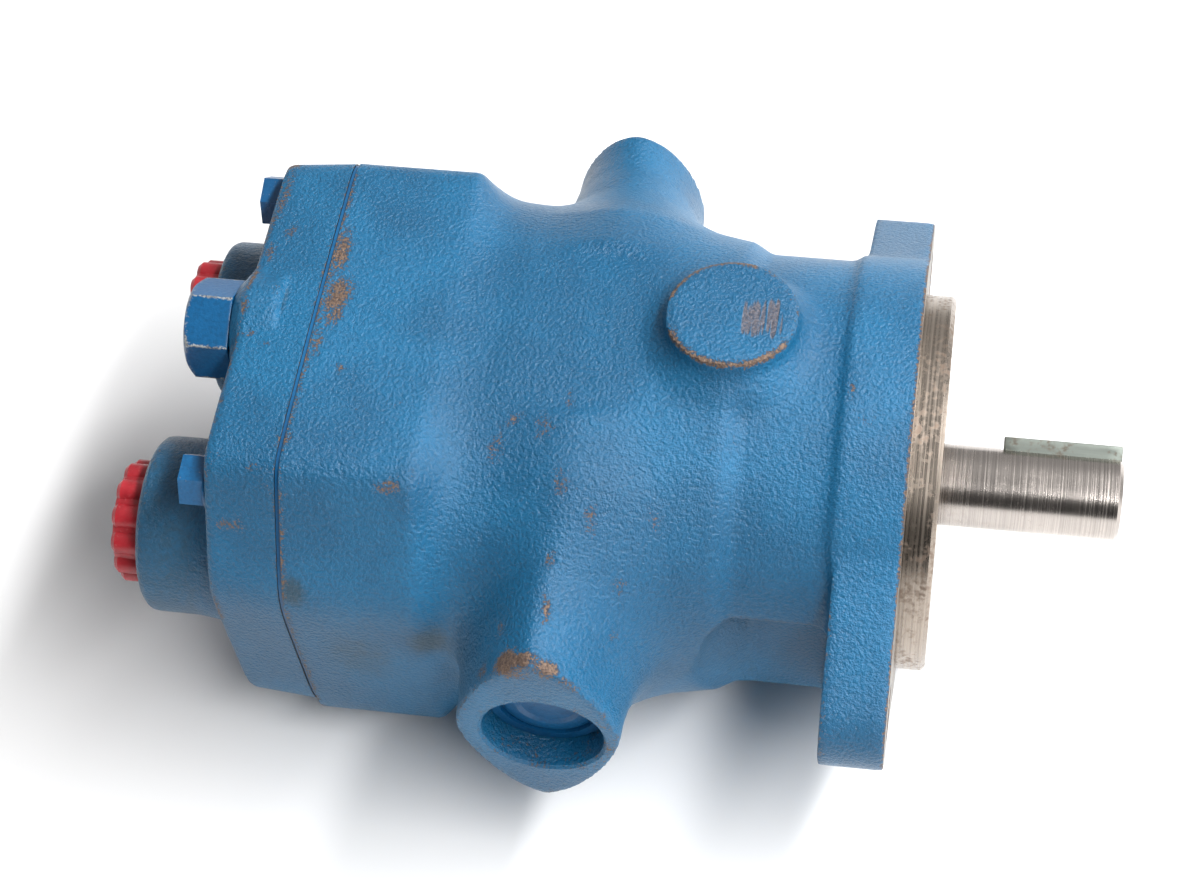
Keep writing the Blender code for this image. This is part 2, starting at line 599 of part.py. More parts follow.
def make_port_plugs():
    """Moulded shipping plugs: a fluted head over the port face and a hollow stem in the port."""
    red = material("red_plastic", (0.52, 0.03, 0.045), 0.42)
    flutes = 12
    outline = []
    for i in range(flutes * 4):
        radius = 0.0167 if i % 4 in (0, 1) else 0.0154
        a = 2 * math.pi * i / (flutes * 4)
        outline.append((radius * math.cos(a), radius * math.sin(a)))
    for name, side in (("near", -1), ("far", 1)):
        face = PORT_FACE_X[name] - GAP
        plug = prism(f"port_plug_{name}", outline, face, face - PORT_PLUG_REACH, red)
        join(plug, rod(face - 0.001, face + 0.0130, PORT_BORE_RADIUS - 0.0004, steps=FINE))
        cut(plug, rod(face + 0.0140, face - PORT_PLUG_REACH + 0.0030, 0.0125))
        plug.data.transform(Matrix.Translation((0, side * PORT_OFFSET, 0)))


def build():
    for old in list(bpy.data.objects):
        bpy.data.objects.remove(old)
    make_housing()
    make_valve_block()
    make_gasket()
    make_cover_bolts()
    make_shaft()
    make_key()
    make_front_bearing()
    make_rear_bearing()
    make_shaft_seal()
    make_cylinder_block()
    make_pistons()
    make_shoe_retainer()
    make_ball_guide()
    make_valve_plate()
    make_yoke()
    make_swash_plate()
    make_pintles()
    make_stroke_control()
    make_compensator()
    make_port_plugs()


build()
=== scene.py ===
import math

import bmesh
import bpy
import numpy as np
from mathutils import Matrix, Vector


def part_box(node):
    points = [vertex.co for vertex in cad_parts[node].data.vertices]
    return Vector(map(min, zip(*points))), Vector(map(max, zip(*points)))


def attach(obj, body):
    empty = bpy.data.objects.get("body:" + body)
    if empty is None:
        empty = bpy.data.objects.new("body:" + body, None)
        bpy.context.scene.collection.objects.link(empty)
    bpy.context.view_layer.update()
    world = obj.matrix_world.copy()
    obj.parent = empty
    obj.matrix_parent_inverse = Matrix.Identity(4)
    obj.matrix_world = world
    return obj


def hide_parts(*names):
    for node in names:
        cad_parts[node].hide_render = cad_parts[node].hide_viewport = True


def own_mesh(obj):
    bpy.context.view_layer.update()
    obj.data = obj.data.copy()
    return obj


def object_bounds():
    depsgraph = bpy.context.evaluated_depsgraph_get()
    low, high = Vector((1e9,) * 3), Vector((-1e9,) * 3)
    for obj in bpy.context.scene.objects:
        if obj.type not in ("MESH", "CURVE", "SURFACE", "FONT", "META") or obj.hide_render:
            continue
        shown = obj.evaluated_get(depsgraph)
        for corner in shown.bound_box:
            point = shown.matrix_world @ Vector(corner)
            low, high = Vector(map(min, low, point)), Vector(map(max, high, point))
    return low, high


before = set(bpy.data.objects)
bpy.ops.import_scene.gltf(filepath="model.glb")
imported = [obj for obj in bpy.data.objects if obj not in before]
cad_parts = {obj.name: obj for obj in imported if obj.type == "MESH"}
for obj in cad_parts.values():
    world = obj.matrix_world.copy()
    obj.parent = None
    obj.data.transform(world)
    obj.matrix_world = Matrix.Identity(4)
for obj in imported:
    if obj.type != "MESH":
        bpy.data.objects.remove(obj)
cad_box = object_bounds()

# Floor, light and camera
# A seamless pale sweep under the pump, a long narrow soft lamp overhead toward the shaft end, a
# weaker broad one beyond that end, a sky that darkens behind the camera, and a camera that looks
# down on the shaft end from the near side.
FLOOR_Z = cad_box[0][2] - 0.0005
FLOOR_HALF_WIDTH = 6
PUMP_MIDDLE = Vector((-0.13, 0, 0))
DARK_SKY_WAY = (0.10, -0.89, 0.44)
CAMERA_AT = (-0.0469, -0.4220, 0.5922)
CAMERA_AZIMUTH, CAMERA_ELEVATION, CAMERA_ROLL = (math.radians(d) for d in (12.6, 53.62, -5.16))
LENS_MM, SENSOR_MM = 79.80, 36


def linked(name, data):
    """A new object in the scene that shows data."""
    thing = bpy.data.objects.new(name, data)
    bpy.context.scene.collection.objects.link(thing)
    return thing


def piece_from(name, bm):
    """A new object that shows what a bmesh holds."""
    data = bpy.data.meshes.new(name)
    bm.to_mesh(data)
    bm.free()
    return linked(name, data)


def camera_axes():
    """The camera's right, up and back directions."""
    across, away = math.cos(CAMERA_AZIMUTH), math.sin(CAMERA_AZIMUTH)
    flat = math.cos(CAMERA_ELEVATION)
    back = Vector((away * flat, -across * flat, math.sin(CAMERA_ELEVATION)))
    right = Vector((across, away, 0))
    up = back.cross(right)
    c, s = math.cos(CAMERA_ROLL), math.sin(CAMERA_ROLL)
    return c * right + s * up, c * up - s * right, back


def add_camera():
    data = bpy.data.cameras.new("camera")
    data.lens, data.sensor_width = LENS_MM, SENSOR_MM
    data.clip_start, data.clip_end = 0.01, 20
    camera = linked("camera", data)
    turned = Matrix(camera_axes()).transposed().to_4x4()
    camera.matrix_world = Matrix.Translation(CAMERA_AT) @ turned
    bpy.context.scene.camera = camera


def add_lamp(name, direction, distance, width, height, power):
    """A soft oblong lamp aimed at the middle of the pump."""
    data = bpy.data.lights.new(name, "AREA")
    data.shape, data.size, data.size_y, data.energy = "RECTANGLE", width, height, power
    lamp = linked(name, data)
    aim = Vector(direction).normalized()
    lamp.location = PUMP_MIDDLE + aim * distance
    lamp.rotation_euler = aim.to_track_quat("Z", "Y").to_euler()


def add_floor():
    bm = bmesh.new()
    bmesh.ops.create_grid(bm, x_segments=1, y_segments=1, size=FLOOR_HALF_WIDTH)
    bmesh.ops.translate(bm, verts=bm.verts, vec=(PUMP_MIDDLE.x, 0, FLOOR_Z))
    floor = piece_from("floor", bm)
    sweep = bpy.data.materials.new("pale_sweep")
    sweep.use_nodes = True
    shader = sweep.node_tree.nodes["Principled BSDF"]
    shader.inputs["Base Color"].default_value = (0.93, 0.93, 0.93, 1)
    shader.inputs["Roughness"].default_value = 0.9
    shader.inputs["Specular IOR Level"].default_value = 0.1
    floor.data.materials.append(sweep)


def add_world():
    world = bpy.data.worlds.new("studio")
    bpy.context.scene.world = world
    world.use_nodes = True
    tree = world.node_tree
    sky = tree.nodes["Background"]
    sky.inputs["Strength"].default_value = 0.50
    way = tree.nodes.new("ShaderNodeTexCoord").outputs["Generated"]
    facing = tree.nodes.new("ShaderNodeVectorMath")
    facing.operation = "DOT_PRODUCT"
    facing.inputs[1].default_value = DARK_SKY_WAY
    tree.links.new(way, facing.inputs[0])
    ramp = tree.nodes.new("ShaderNodeValToRGB")
    for stop, place, grey in zip(ramp.color_ramp.elements, (0.25, 0.85), (0.95, 0.12)):
        stop.position, stop.color = place, (grey, grey, grey, 1)
    tree.links.new(facing.outputs["Value"], ramp.inputs[0])
    tree.links.new(ramp.outputs[0], sky.inputs["Color"])


add_camera()
add_floor()
add_world()
add_lamp("key_lamp", (0.46, -0.05, 0.88), 1.1, 1.7, 0.13, 25)
add_lamp("side_lamp", (1.2, 0.10, 0.60), 1.3, 0.9, 0.6, 8)
bpy.context.scene.view_settings.view_transform = "Standard"


# Housing casting
# One grey-iron casting: two-bolt flange, round neck, a body that swells into an eight-sided rear,
# a flared boss for each pintle and a round pad on top. It is sand-cast with softened corners, then
# the flange, joint, pintle and pad faces and the bores are machined, and it is sprayed blue.
GRID_STEP = 0.00125
FLANGE_FACE_X = -0.056
FLANGE_THICKNESS = 0.017
FLANGE_RADIUS, NECK_RADIUS, COLLAR_RADIUS = 0.0595, 0.0583, 0.0612
EAR_OFFSET, EAR_RADIUS, EAR_HOLE_RADIUS = 0.073, 0.0149, 0.00715
ROUGH_FRONT_X, ROUGH_BACK_X = -0.050, -0.2170
JOINT_X = -0.2128
PAD_X, PAD_RADIUS, PAD_FACE_Z = -0.104, 0.0173, 0.0668
PINTLE_X, PINTLE_FACE_Y, PINTLE_BORE_RADIUS = -0.1432, 0.0902, 0.0160
PINTLE_ROOT = (0.0375, 0.0500, 1.75)
PINTLE_ENDS = {1: (0.0182, 0.0300, 1.8), -1: (0.0212, 0.0322, 1.5)}
PINTLE_FLARE = ((0.030, 1.15), (0.045, 0.95), (0.055, 0.62), (0.065, 0.32), (0.076, 0.10), (0.083, 0.03),
                (0.095, 0.0))
RECESS_FRONT_X, RECESS_BACK_X, RECESS_TOP_Z, RECESS_FLOOR_Y = -0.0735, -0.1035, 0.0115, 0.0470
HOUSING_FACES = ((87.5, 0.0577), (29, 0.0722), (-6.3, 0.0690), (-42, 0.0775), (-88, 0.0575))
BOLT_PLACES = ((-0.0480, 0.0400), (0.0480, 0.0400), (0.0300, -0.0462), (-0.0300, -0.0462))
SHOULDER_X = -0.1655
SHOULDER = ((0.0, 0.0), (0.0022, 0.03), (0.0044, 0.10), (0.0065, 0.23), (0.0085, 0.42), (0.0105, 0.65),
            (0.0125, 0.88), (0.0135, 0.975), (0.0145, 1.0))
DIRECTIONS = np.linspace(-math.pi, math.pi, 361)


def squircle(half_y, half_z, squareness):
    """Reach of an outline between an ellipse and a rectangle, for every direction."""
    c, s = np.abs(np.cos(DIRECTIONS)), np.abs(np.sin(DIRECTIONS))
    return ((c / half_y) ** squareness + (s / half_z) ** squareness) ** (-1 / squareness)


def faceted(faces, inset=0.0, sharpness=34):
    """Reach of an outline round flat faces that come in mirrored pairs, with softened corners."""
    total = 0
    for degrees, distance in faces:
        for normal in (math.radians(degrees), math.pi - math.radians(degrees)):
            total = total + np.maximum(0, np.cos(DIRECTIONS - normal) / (distance - inset)) ** sharpness
    return total ** (-1 / sharpness)


def smooth_step(t):
    t = np.clip(t, 0, 1)
    return t * t * (3 - 2 * t)


def blended(a, b, k):
    """Union of two distance fields with a fillet of about k where they meet."""
    h = np.clip(0.5 + 0.5 * (b - a) / k, 0, 1)
    return b + (a - b) * h - k * h * (1 - h)


def trimmed(a, b, k):
    """What two distance fields share, its edge rounded by about k."""
    return -blended(-a, -b, k)


def carved(a, b, k):
    """Field a with b taken away, the edge rounded by about k."""
    return -blended(-a, b, k)


def swept(along, across_1, across_2, stations):
    """Distance to a body whose outline changes from one station to the next along an axis."""
    places = np.array([s[0] for s in stations])
    table = np.array([s[1] for s in stations])
    line = along[:, 0, 0]
    order = np.argsort(places)
    places, table = places[order], table[order]
    field = np.empty(across_1.shape, np.float32)
    for i, x in enumerate(line):
        x = min(max(x, places[0]), places[-1])
        j = min(np.searchsorted(places, x, side="right") - 1, len(places) - 2)
        t = (x - places[j]) / (places[j + 1] - places[j])
        reach = table[j] + (table[j + 1] - table[j]) * t
        y, z = across_1[i], across_2[i]
        field[i] = np.hypot(y, z) - np.interp(np.arctan2(z, y), DIRECTIONS, reach)
    return field


def uneven_capsule(y, z, radius_0, radius_1, length):
    """Flat distance to the hull of a disc at the middle and a smaller one out along |y|."""
    y = np.abs(y)
    z = np.abs(z)
    b = (radius_0 - radius_1) / length
    a = math.sqrt(1 - b * b)
    k = -b * z + a * y
    inner = np.hypot(y, z) - radius_0
    outer = np.hypot(y - length, z) - radius_1
    side = z * a + y * b - radius_0
    along = y * a - z * b
    return np.where(along < 0, inner, np.where(along > a * length, outer, side))


def surface_of(field, origin, step):
    """Closed quad mesh on a field's zero level: one point for each cell that the surface crosses."""
    inside = field < 0
    nx, ny, nz = field.shape
    cells = (nx - 1, ny - 1, nz - 1)
    total = np.zeros(cells + (3,), np.float64)
    count = np.zeros(cells, np.int32)
    corners = [(i, j, k) for i in (0, 1) for j in (0, 1) for k in (0, 1)]

    def at(array, corner):
        i, j, k = corner
        return array[i:nx - 1 + i, j:ny - 1 + j, k:nz - 1 + k]

    for a in corners:
        for axis in range(3):
            if a[axis]:
                continue
            b = list(a)
            b[axis] = 1
            fa, fb = at(field, a), at(field, b)
            crossed = at(inside, a) != at(inside, b)
            t = np.where(crossed, fa / np.where(crossed, fa - fb, 1), 0)
            for d in range(3):
                place = a[d] + (t if d == axis else 0)
                total[..., d] += np.where(crossed, place, 0)
            count += crossed
    used = count > 0
    index = np.full(cells, -1, np.int64)
    index[used] = np.arange(used.sum())
    base = np.argwhere(used)
    points = (total[used] / count[used][:, None] + base) * step + np.array(origin)
    quads = []
    for axis in range(3):
        u, v = (axis + 1) % 3, (axis + 2) % 3
        low = [slice(1, -1)] * 3
        low[axis] = slice(0, -1)
        high = list(low)
        high[axis] = slice(1, None)
        a, b = inside[tuple(low)], inside[tuple(high)]
        where = np.argwhere(a != b)
        flip = a[a != b]
        where[:, u] += 1
        where[:, v] += 1
        ring = []
        for du, dv in ((-1, -1), (0, -1), (0, 0), (-1, 0)):
            cell = where.copy()
            cell[:, u] += du
            cell[:, v] += dv
            ring.append(index[cell[:, 0], cell[:, 1], cell[:, 2]])
        ring = np.stack(ring, 1)
        ring[~flip] = ring[~flip][:, ::-1]
        quads.append(ring)
    return points, np.concatenate(quads)


def cast(name, field, low, high):
    """The closed surface of a distance field between two corners."""
    lines = [np.arange(a, b + GRID_STEP, GRID_STEP) for a, b in zip(low, high)]
    points, quads = surface_of(field(*np.meshgrid(*lines, indexing="ij")), low, GRID_STEP)
    data = bpy.data.meshes.new(name)
    data.from_pydata([tuple(p) for p in points], [], [tuple(int(i) for i in q) for q in quads])
    data.update()
    return linked(name, data)


def housing_field(x, y, z):
    waist, box = squircle(0.0668, 0.0556, 2.6), faceted(HOUSING_FACES)
    neck, collar = (squircle(radius, radius, 2) for radius in (NECK_RADIUS, COLLAR_RADIUS))
    stations = [(-0.040, neck), (-0.0985, neck), (-0.1035, collar), (-0.1150, squircle(0.0634, 0.0600, 2.1)),
                (-0.1280, squircle(0.0662, 0.0582, 2.35)), (-0.1600, squircle(0.0670, 0.0562, 2.5))]
    for back, share in SHOULDER:
        stations.append((SHOULDER_X - back, waist + (box - waist) * share))
    stations.append((-0.2250, box))
    body = np.maximum(swept(x, y, z, stations), np.maximum(x - ROUGH_FRONT_X, ROUGH_BACK_X - x))
    slab = np.maximum(x - ROUGH_FRONT_X, -(x - FLANGE_FACE_X + FLANGE_THICKNESS))
    ears = np.maximum(uneven_capsule(y, z, FLANGE_RADIUS - 0.004, EAR_RADIUS, EAR_OFFSET), slab)
    rim = np.maximum(np.hypot(y, z) - FLANGE_RADIUS, slab)
    flange = trimmed(np.minimum(ears, rim), x - FLANGE_FACE_X, 0.0010)
    body = blended(body, flange, 0.0045)
    for side in (1, -1):
        rows = []
        for reach, flare in PINTLE_FLARE:
            shape = [end + flare * (root - end) for end, root in zip(PINTLE_ENDS[side], PINTLE_ROOT)]
            rows.append((reach, squircle(*shape)))
        middle = PINTLE_X + 0.0012 * side
        shift = 0.0035 * smooth_step((0.080 - np.abs(y)) / 0.035)
        turned = [np.moveaxis(a, 1, 0) for a in (side * y, x - middle - shift, z - 0.0015)]
        boss = np.moveaxis(swept(*turned, rows), 0, 1)
        boss = trimmed(boss, side * y - PINTLE_FACE_Y, 0.0012)
        boss = np.maximum(boss, 0.030 - side * y)
        body = blended(body, boss, 0.0075)
    pad_radius = PAD_RADIUS + 0.0045 * smooth_step((0.0640 - z) / 0.008)
    pad = trimmed(np.hypot(x - PAD_X, y) - pad_radius, z - PAD_FACE_Z, 0.0016)
    body = blended(body, np.maximum(pad, 0.045 - z), 0.0040)
    lower = np.clip(RECESS_TOP_Z - z, 0, 0.022)
    back_end = RECESS_BACK_X - x - 0.30 * lower
    floor = RECESS_FLOOR_Y + 0.85 * np.maximum(0, -0.0945 - x) - np.abs(y)
    scoop = trimmed(floor, z - RECESS_TOP_Z, 0.0030)
    scoop = trimmed(scoop, back_end, 0.0070)
    return carved(body, np.maximum(scoop, x - RECESS_FRONT_X), 0.0010)


def skinned(name, rings, place=Matrix.Identity(4), closed=False):
    """A solid over rings of points; its ends are capped unless the last ring meets the first."""
    bm = bmesh.new()
    rings = [[bm.verts.new(point) for point in ring] for ring in rings]
    pairs = list(zip(rings, rings[1:]))
    if closed:
        pairs.append((rings[-1], rings[0]))
    for a, b in pairs:
        for i in range(len(a)):
            j = (i + 1) % len(a)
            bm.faces.new((a[i], a[j], b[j], b[i]))
    if not closed:
        bm.faces.new(rings[0])
        bm.faces.new(rings[-1])
    bmesh.ops.recalc_face_normals(bm, faces=bm.faces)
    bm.transform(place)
    return piece_from(name, bm)


def lathe(name, profile, steps, place=Matrix.Identity(4), closed=False):
    """Turns (x, radius) points about the X axis."""
    turns = [2 * math.pi * i / steps for i in range(steps)]
    rings = [[(x, r * math.cos(a), r * math.sin(a)) for a in turns] for x, r in profile]
    return skinned(name, rings, place, closed)


def cuboid(name, low, high):
    bm = bmesh.new()
    bmesh.ops.create_cube(bm, size=1)
    bmesh.ops.scale(bm, verts=bm.verts, vec=Vector(high) - Vector(low))
    bmesh.ops.translate(bm, verts=bm.verts, vec=(Vector(high) + Vector(low)) / 2)
    return piece_from(name, bm)


def machine(piece, cutters, operation="DIFFERENCE"):
    """Cuts the piece with each cutter and discards the cutter."""
    for cutter in cutters:
        step = piece.modifiers.new("cut", "BOOLEAN")
        step.operation, step.solver, step.object = operation, "MANIFOLD", cutter
        seen = bpy.context.evaluated_depsgraph_get()
        fresh = bpy.data.meshes.new_from_object(piece.evaluated_get(seen))
        piece.modifiers.clear()
        old, piece.data = piece.data, fresh
        bpy.data.meshes.remove(old)
        bpy.data.objects.remove(cutter)
    piece.data.name = piece.name
    piece.data.materials.clear()
    return piece


def soft_shading(piece, degrees=32):
    """Smooth shading that stays crisp across machined edges."""
    data = piece.data
    data.shade_smooth()
    bm = bmesh.new()
    bm.from_mesh(data)
    limit = math.radians(degrees)
    for edge in bm.edges:
        edge.smooth = len(edge.link_faces) == 2 and edge.calc_face_angle(0) < limit
    bm.to_mesh(data)
    bm.free()


housing = cast("housing_casting", housing_field, (-0.2200, -0.0960, -0.0640), (-0.0460, 0.0960, 0.0740))
across = Matrix.Translation((PINTLE_X, 0, 0)) @ Matrix.Rotation(math.pi / 2, 4, "Z")
cavity = [(-0.0400, 0.0300), (-0.0520, 0.0260), (-0.0520, 0.0210), (-0.0620, 0.0210), (-0.0620, 0.0150),
          (-0.0700, 0.0150), (-0.0700, 0.0313), (-0.0864, 0.0313), (-0.0864, 0.0330), (-0.0888, 0.0330),
          (-0.0888, 0.0313), (-0.0950, 0.0313), (-0.1050, 0.0500), (-0.1080, 0.0530), (-0.1700, 0.0530),
          (-0.1760, 0.0488), (-0.2200, 0.0488)]
cutters = [cuboid("cutter", (FLANGE_FACE_X, -0.1, -0.1), (0.0, 0.1, 0.1)),
           cuboid("cutter", (-0.3, -0.1, -0.1), (JOINT_X, 0.1, 0.1)),
           lathe("cutter", cavity, 96)]
bore = [(0.040, 0.0129), (0.056, 0.0129), (0.056, PINTLE_BORE_RADIUS),
        (PINTLE_FACE_Y - 0.0008, PINTLE_BORE_RADIUS), (PINTLE_FACE_Y + 0.001, PINTLE_BORE_RADIUS + 0.0018)]
hole = [(-0.0500, EAR_HOLE_RADIUS + 0.004), (-0.0568, EAR_HOLE_RADIUS), (-0.080, EAR_HOLE_RADIUS)]
for side in (1, -1):
    cutters.append(lathe("cutter", [(side * reach, radius) for reach, radius in bore], 64, across))
    cutters.append(lathe("cutter", hole, 40, Matrix.Translation((0, side * EAR_OFFSET, 0))))
machine(housing, cutters)
soft_shading(housing)


def put(tree, kind, values=None, **settings):
    """A shader or geometry node with its settings, and its sockets linked or filled in."""
    node = tree.nodes.new(kind)
    for key, value in settings.items():
        setattr(node, key, value)
    for key, value in (values or {}).items():
        if isinstance(value, bpy.types.NodeSocket):
            tree.links.new(value, node.inputs[key])
        else:
            node.inputs[key].default_value = value
    return node


def result(tree, kind, values=None, **settings):
    """The first output of a new node."""
    return put(tree, kind, values, **settings).outputs[0]


def noise(tree, where, scale, detail=3.0, roughness=0.55, distortion=0.0):
    sockets = {"Vector": where, "Scale": scale, "Detail": detail, "Roughness": roughness,
               "Distortion": distortion}
    return put(tree, "ShaderNodeTexNoise", sockets).outputs["Fac"]


def drawn_out(tree, where, scale):
    """A place in space scaled by a different number along each axis."""
    return result(tree, "ShaderNodeMapping", {"Vector": where, "Scale": scale})


def bumped(tree, strength, distance, height):
    return result(tree, "ShaderNodeBump", {"Strength": strength, "Distance": distance, "Height": height})


def reckon(tree, operation, a, b):
    return result(tree, "ShaderNodeMath", {0: a, 1: b}, operation=operation)


def plus(tree, a, b):
    return reckon(tree, "ADD", a, b)


def times(tree, a, b):
    return reckon(tree, "MULTIPLY", a, b)


def remap(tree, value, low, high, to_low=0.0, to_high=1.0):
    """A value carried smoothly from one range to another and held at the ends."""
    sockets = {"Value": value, "From Min": low, "From Max": high, "To Min": to_low, "To Max": to_high}
    return result(tree, "ShaderNodeMapRange", sockets, interpolation_type="SMOOTHSTEP")


def mixed(tree, share, a, b):
    return put(tree, "ShaderNodeMix", {0: share, 6: a, 7: b}, data_type="RGBA").outputs[2]


def rgb(r, g, b):
    """A colour given as it shows on a screen, from 0 to 255."""
    shares = [c / 255 for c in (r, g, b)]
    return (*(((c + 0.055) / 1.055) ** 2.4 if c > 0.04 else c / 12.92 for c in shares), 1.0)


def new_finish(name):
    made = bpy.data.materials.new(name)
    made.use_nodes = True
    tree = made.node_tree
    where = put(tree, "ShaderNodeTexCoord").outputs["Object"]
    return made, tree, tree.nodes["Principled BSDF"], where


def fill(tree, shader, **values):
    """Links or sets the shader's sockets; underscores stand for spaces."""
    for key, value in values.items():
        socket = shader.inputs[key.replace("_", " ")]
        if isinstance(value, bpy.types.NodeSocket):
            tree.links.new(value, socket)
        else:
            socket.default_value = value


def sprayed_blue(name, tone=(14, 101, 144), dark=(10, 86, 125), grain=0.0009, peel=0.80,
                 worn=rgb(128, 106, 90)):
    """Thick blue spray paint over a rough casting, chipped to brown rust where the surface is worn; painted
    shade darkens the hollows of its grain, the raised grain gets a painted highlight, and painted shade
    darkens it where the mesh is marked for shade.
    """
    made, tree, shader, where = new_finish(name)
    wear, shade_and_dark_paint, streaks = (put(tree, "ShaderNodeAttribute", attribute_name=word).outputs["Fac"]
                            for word in ("wear", "shade_and_dark_paint", "streaks"))
    sand = noise(tree, where, 1000, 3.0, 0.6)
    fine = noise(tree, where, 2600, 2.0)
    broad = noise(tree, where, 26, 2.0)
    patchy = noise(tree, where, 240, 4.0, 0.65, 0.8)
    speck = noise(tree, where, 1500, 4.0, 0.7)
    lines = noise(tree, drawn_out(tree, where, (760.0, 30.0, 30.0)), 1.0, 2.0, 0.5)
    ragged = plus(tree, times(tree, patchy, 0.7), times(tree, speck, 1.3))
    chipped = remap(tree, plus(tree, wear, reckon(tree, "SUBTRACT", ragged, 1.0)), 0.40, 0.60)
    scored = remap(tree, times(tree, streaks, lines), 0.44, 0.54)
    bare = reckon(tree, "MAXIMUM", chipped, times(tree, scored, 0.62))
    paint = mixed(tree, remap(tree, broad, 0.35, 0.66), rgb(*dark), rgb(*tone))
    # Painted shade and painted highlight at the scale of the orange peel: the same noise that raises the bump
    # darkens its hollows and lightens its raised grain.
    hollow = remap(tree, sand, 0.34, 0.56, 0.26, 0.0)
    paint = mixed(tree, hollow, paint, rgb(*[0.66 * c for c in dark]))
    grain_highlight = remap(tree, sand, 0.58, 0.76, 0.0, 0.14)
    paint = mixed(tree, grain_highlight, paint, rgb(62, 136, 172))
    # Painted shade: the darkening attribute marked on each casting (creases, undersides, shadow patches, and
    # on the valve block also the darker paint of its rear bosses), broken up by noise, mixes the paint toward
    # dark grey-blue.
    shade_and_dark_paint_share = remap(tree, plus(tree, shade_and_dark_paint, times(tree, patchy, 0.5)), 0.50, 1.15, 0.0, 0.72)
    paint = mixed(tree, shade_and_dark_paint_share, paint, rgb(44, 62, 68))
    rust = mixed(tree, remap(tree, speck, 0.38, 0.62), rgb(80, 64, 57), worn)
    height = plus(tree, times(tree, sand, peel), times(tree, fine, 0.14))
    height = reckon(tree, "SUBTRACT", height, times(tree, bare, 0.20))
    gloss = plus(tree, remap(tree, broad, 0.3, 0.7, 0.30, 0.38), times(tree, bare, 0.22))
    fill(tree, shader, Base_Color=mixed(tree, bare, paint, rust), Roughness=gloss,
         Normal=bumped(tree, 1.0, grain, height), Metallic=times(tree, bare, 0.30))
    return made


def machined_steel(name, tone=(176, 174, 170), along="X", scale=2600, stain=0.0, rough=0.26,
                   stain_tone=(120, 96, 80)):
    """Turned or ground steel: fine tool lines round the piece's axis, faint stains and dull spots."""
    made, tree, shader, where = new_finish(name)
    squeeze = {"X": (scale, 14, 14), "Y": (14, scale, 14), "Z": (14, 14, scale)}[along]
    lines = noise(tree, drawn_out(tree, where, squeeze), 1.0, 4.0, 0.6)
    cloud = noise(tree, where, 90, 4.0, 0.6)
    dull = noise(tree, where, 700, 3.0, 0.6)
    metal = mixed(tree, remap(tree, lines, 0.3, 0.7), rgb(*[0.82 * c for c in tone]), rgb(*tone))
    marked = remap(tree, times(tree, cloud, dull), 0.24, 0.40, 0.0, stain)
    gloss = remap(tree, plus(tree, lines, times(tree, marked, 1.4)), 0.2, 1.3, rough, rough + 0.34)
    fill(tree, shader, Base_Color=mixed(tree, marked, metal, rgb(*stain_tone)), Metallic=1.0,
         Roughness=gloss, Normal=bumped(tree, 0.35, 0.00006, lines))
    return made


def mark(piece, name, values):
    found = piece.data.attributes.get(name) or piece.data.attributes.new(name, "FLOAT", "POINT")
    found.data.foreach_set("value", np.asarray(values, np.float32))


def read(items, field, width, kind=np.float32):
    """One field of every item, a row for each."""
    data = np.empty(len(items) * width, kind)
    items.foreach_get(field, data)
    return data.reshape(-1, width)


def vertices_of(piece):
    return read(piece.data.vertices, "co", 3).astype(np.float64)


def bulge(piece):
    """How far each vertex stands out of (positive) or into (negative) its neighbours' plane."""
    points = vertices_of(piece)
    normals = read(piece.data.vertex_normals, "vector", 3)
    a, b = read(piece.data.edges, "vertices", 2, np.int32).T
    ends, others = np.concatenate((a, b)), np.concatenate((b, a))
    step = points[others] - points[ends]
    length = np.linalg.norm(step, axis=1)[:, None] + 1e-9
    rise = -(step / length * normals[ends]).sum(1)
    number = np.bincount(ends, minlength=len(points))
    value = np.bincount(ends, rise, len(points)) / np.maximum(number, 1)
    for _ in range(3):
        value = (value + np.bincount(ends, value[others], len(points))) / (1 + number)
    return value


def spots(points, patches):
    """Soft ellipsoids (x, y, z, reach in x, y, z, strength) in millimetres, added up."""
    total = np.zeros(len(points))
    for x, y, z, rx, ry, rz, strength in patches:
        away = (((points - np.array((x, y, z)) / 1000) / (np.array((rx, ry, rz)) / 1000)) ** 2).sum(1)
        total = np.maximum(total, strength * np.exp(-away))
    return total


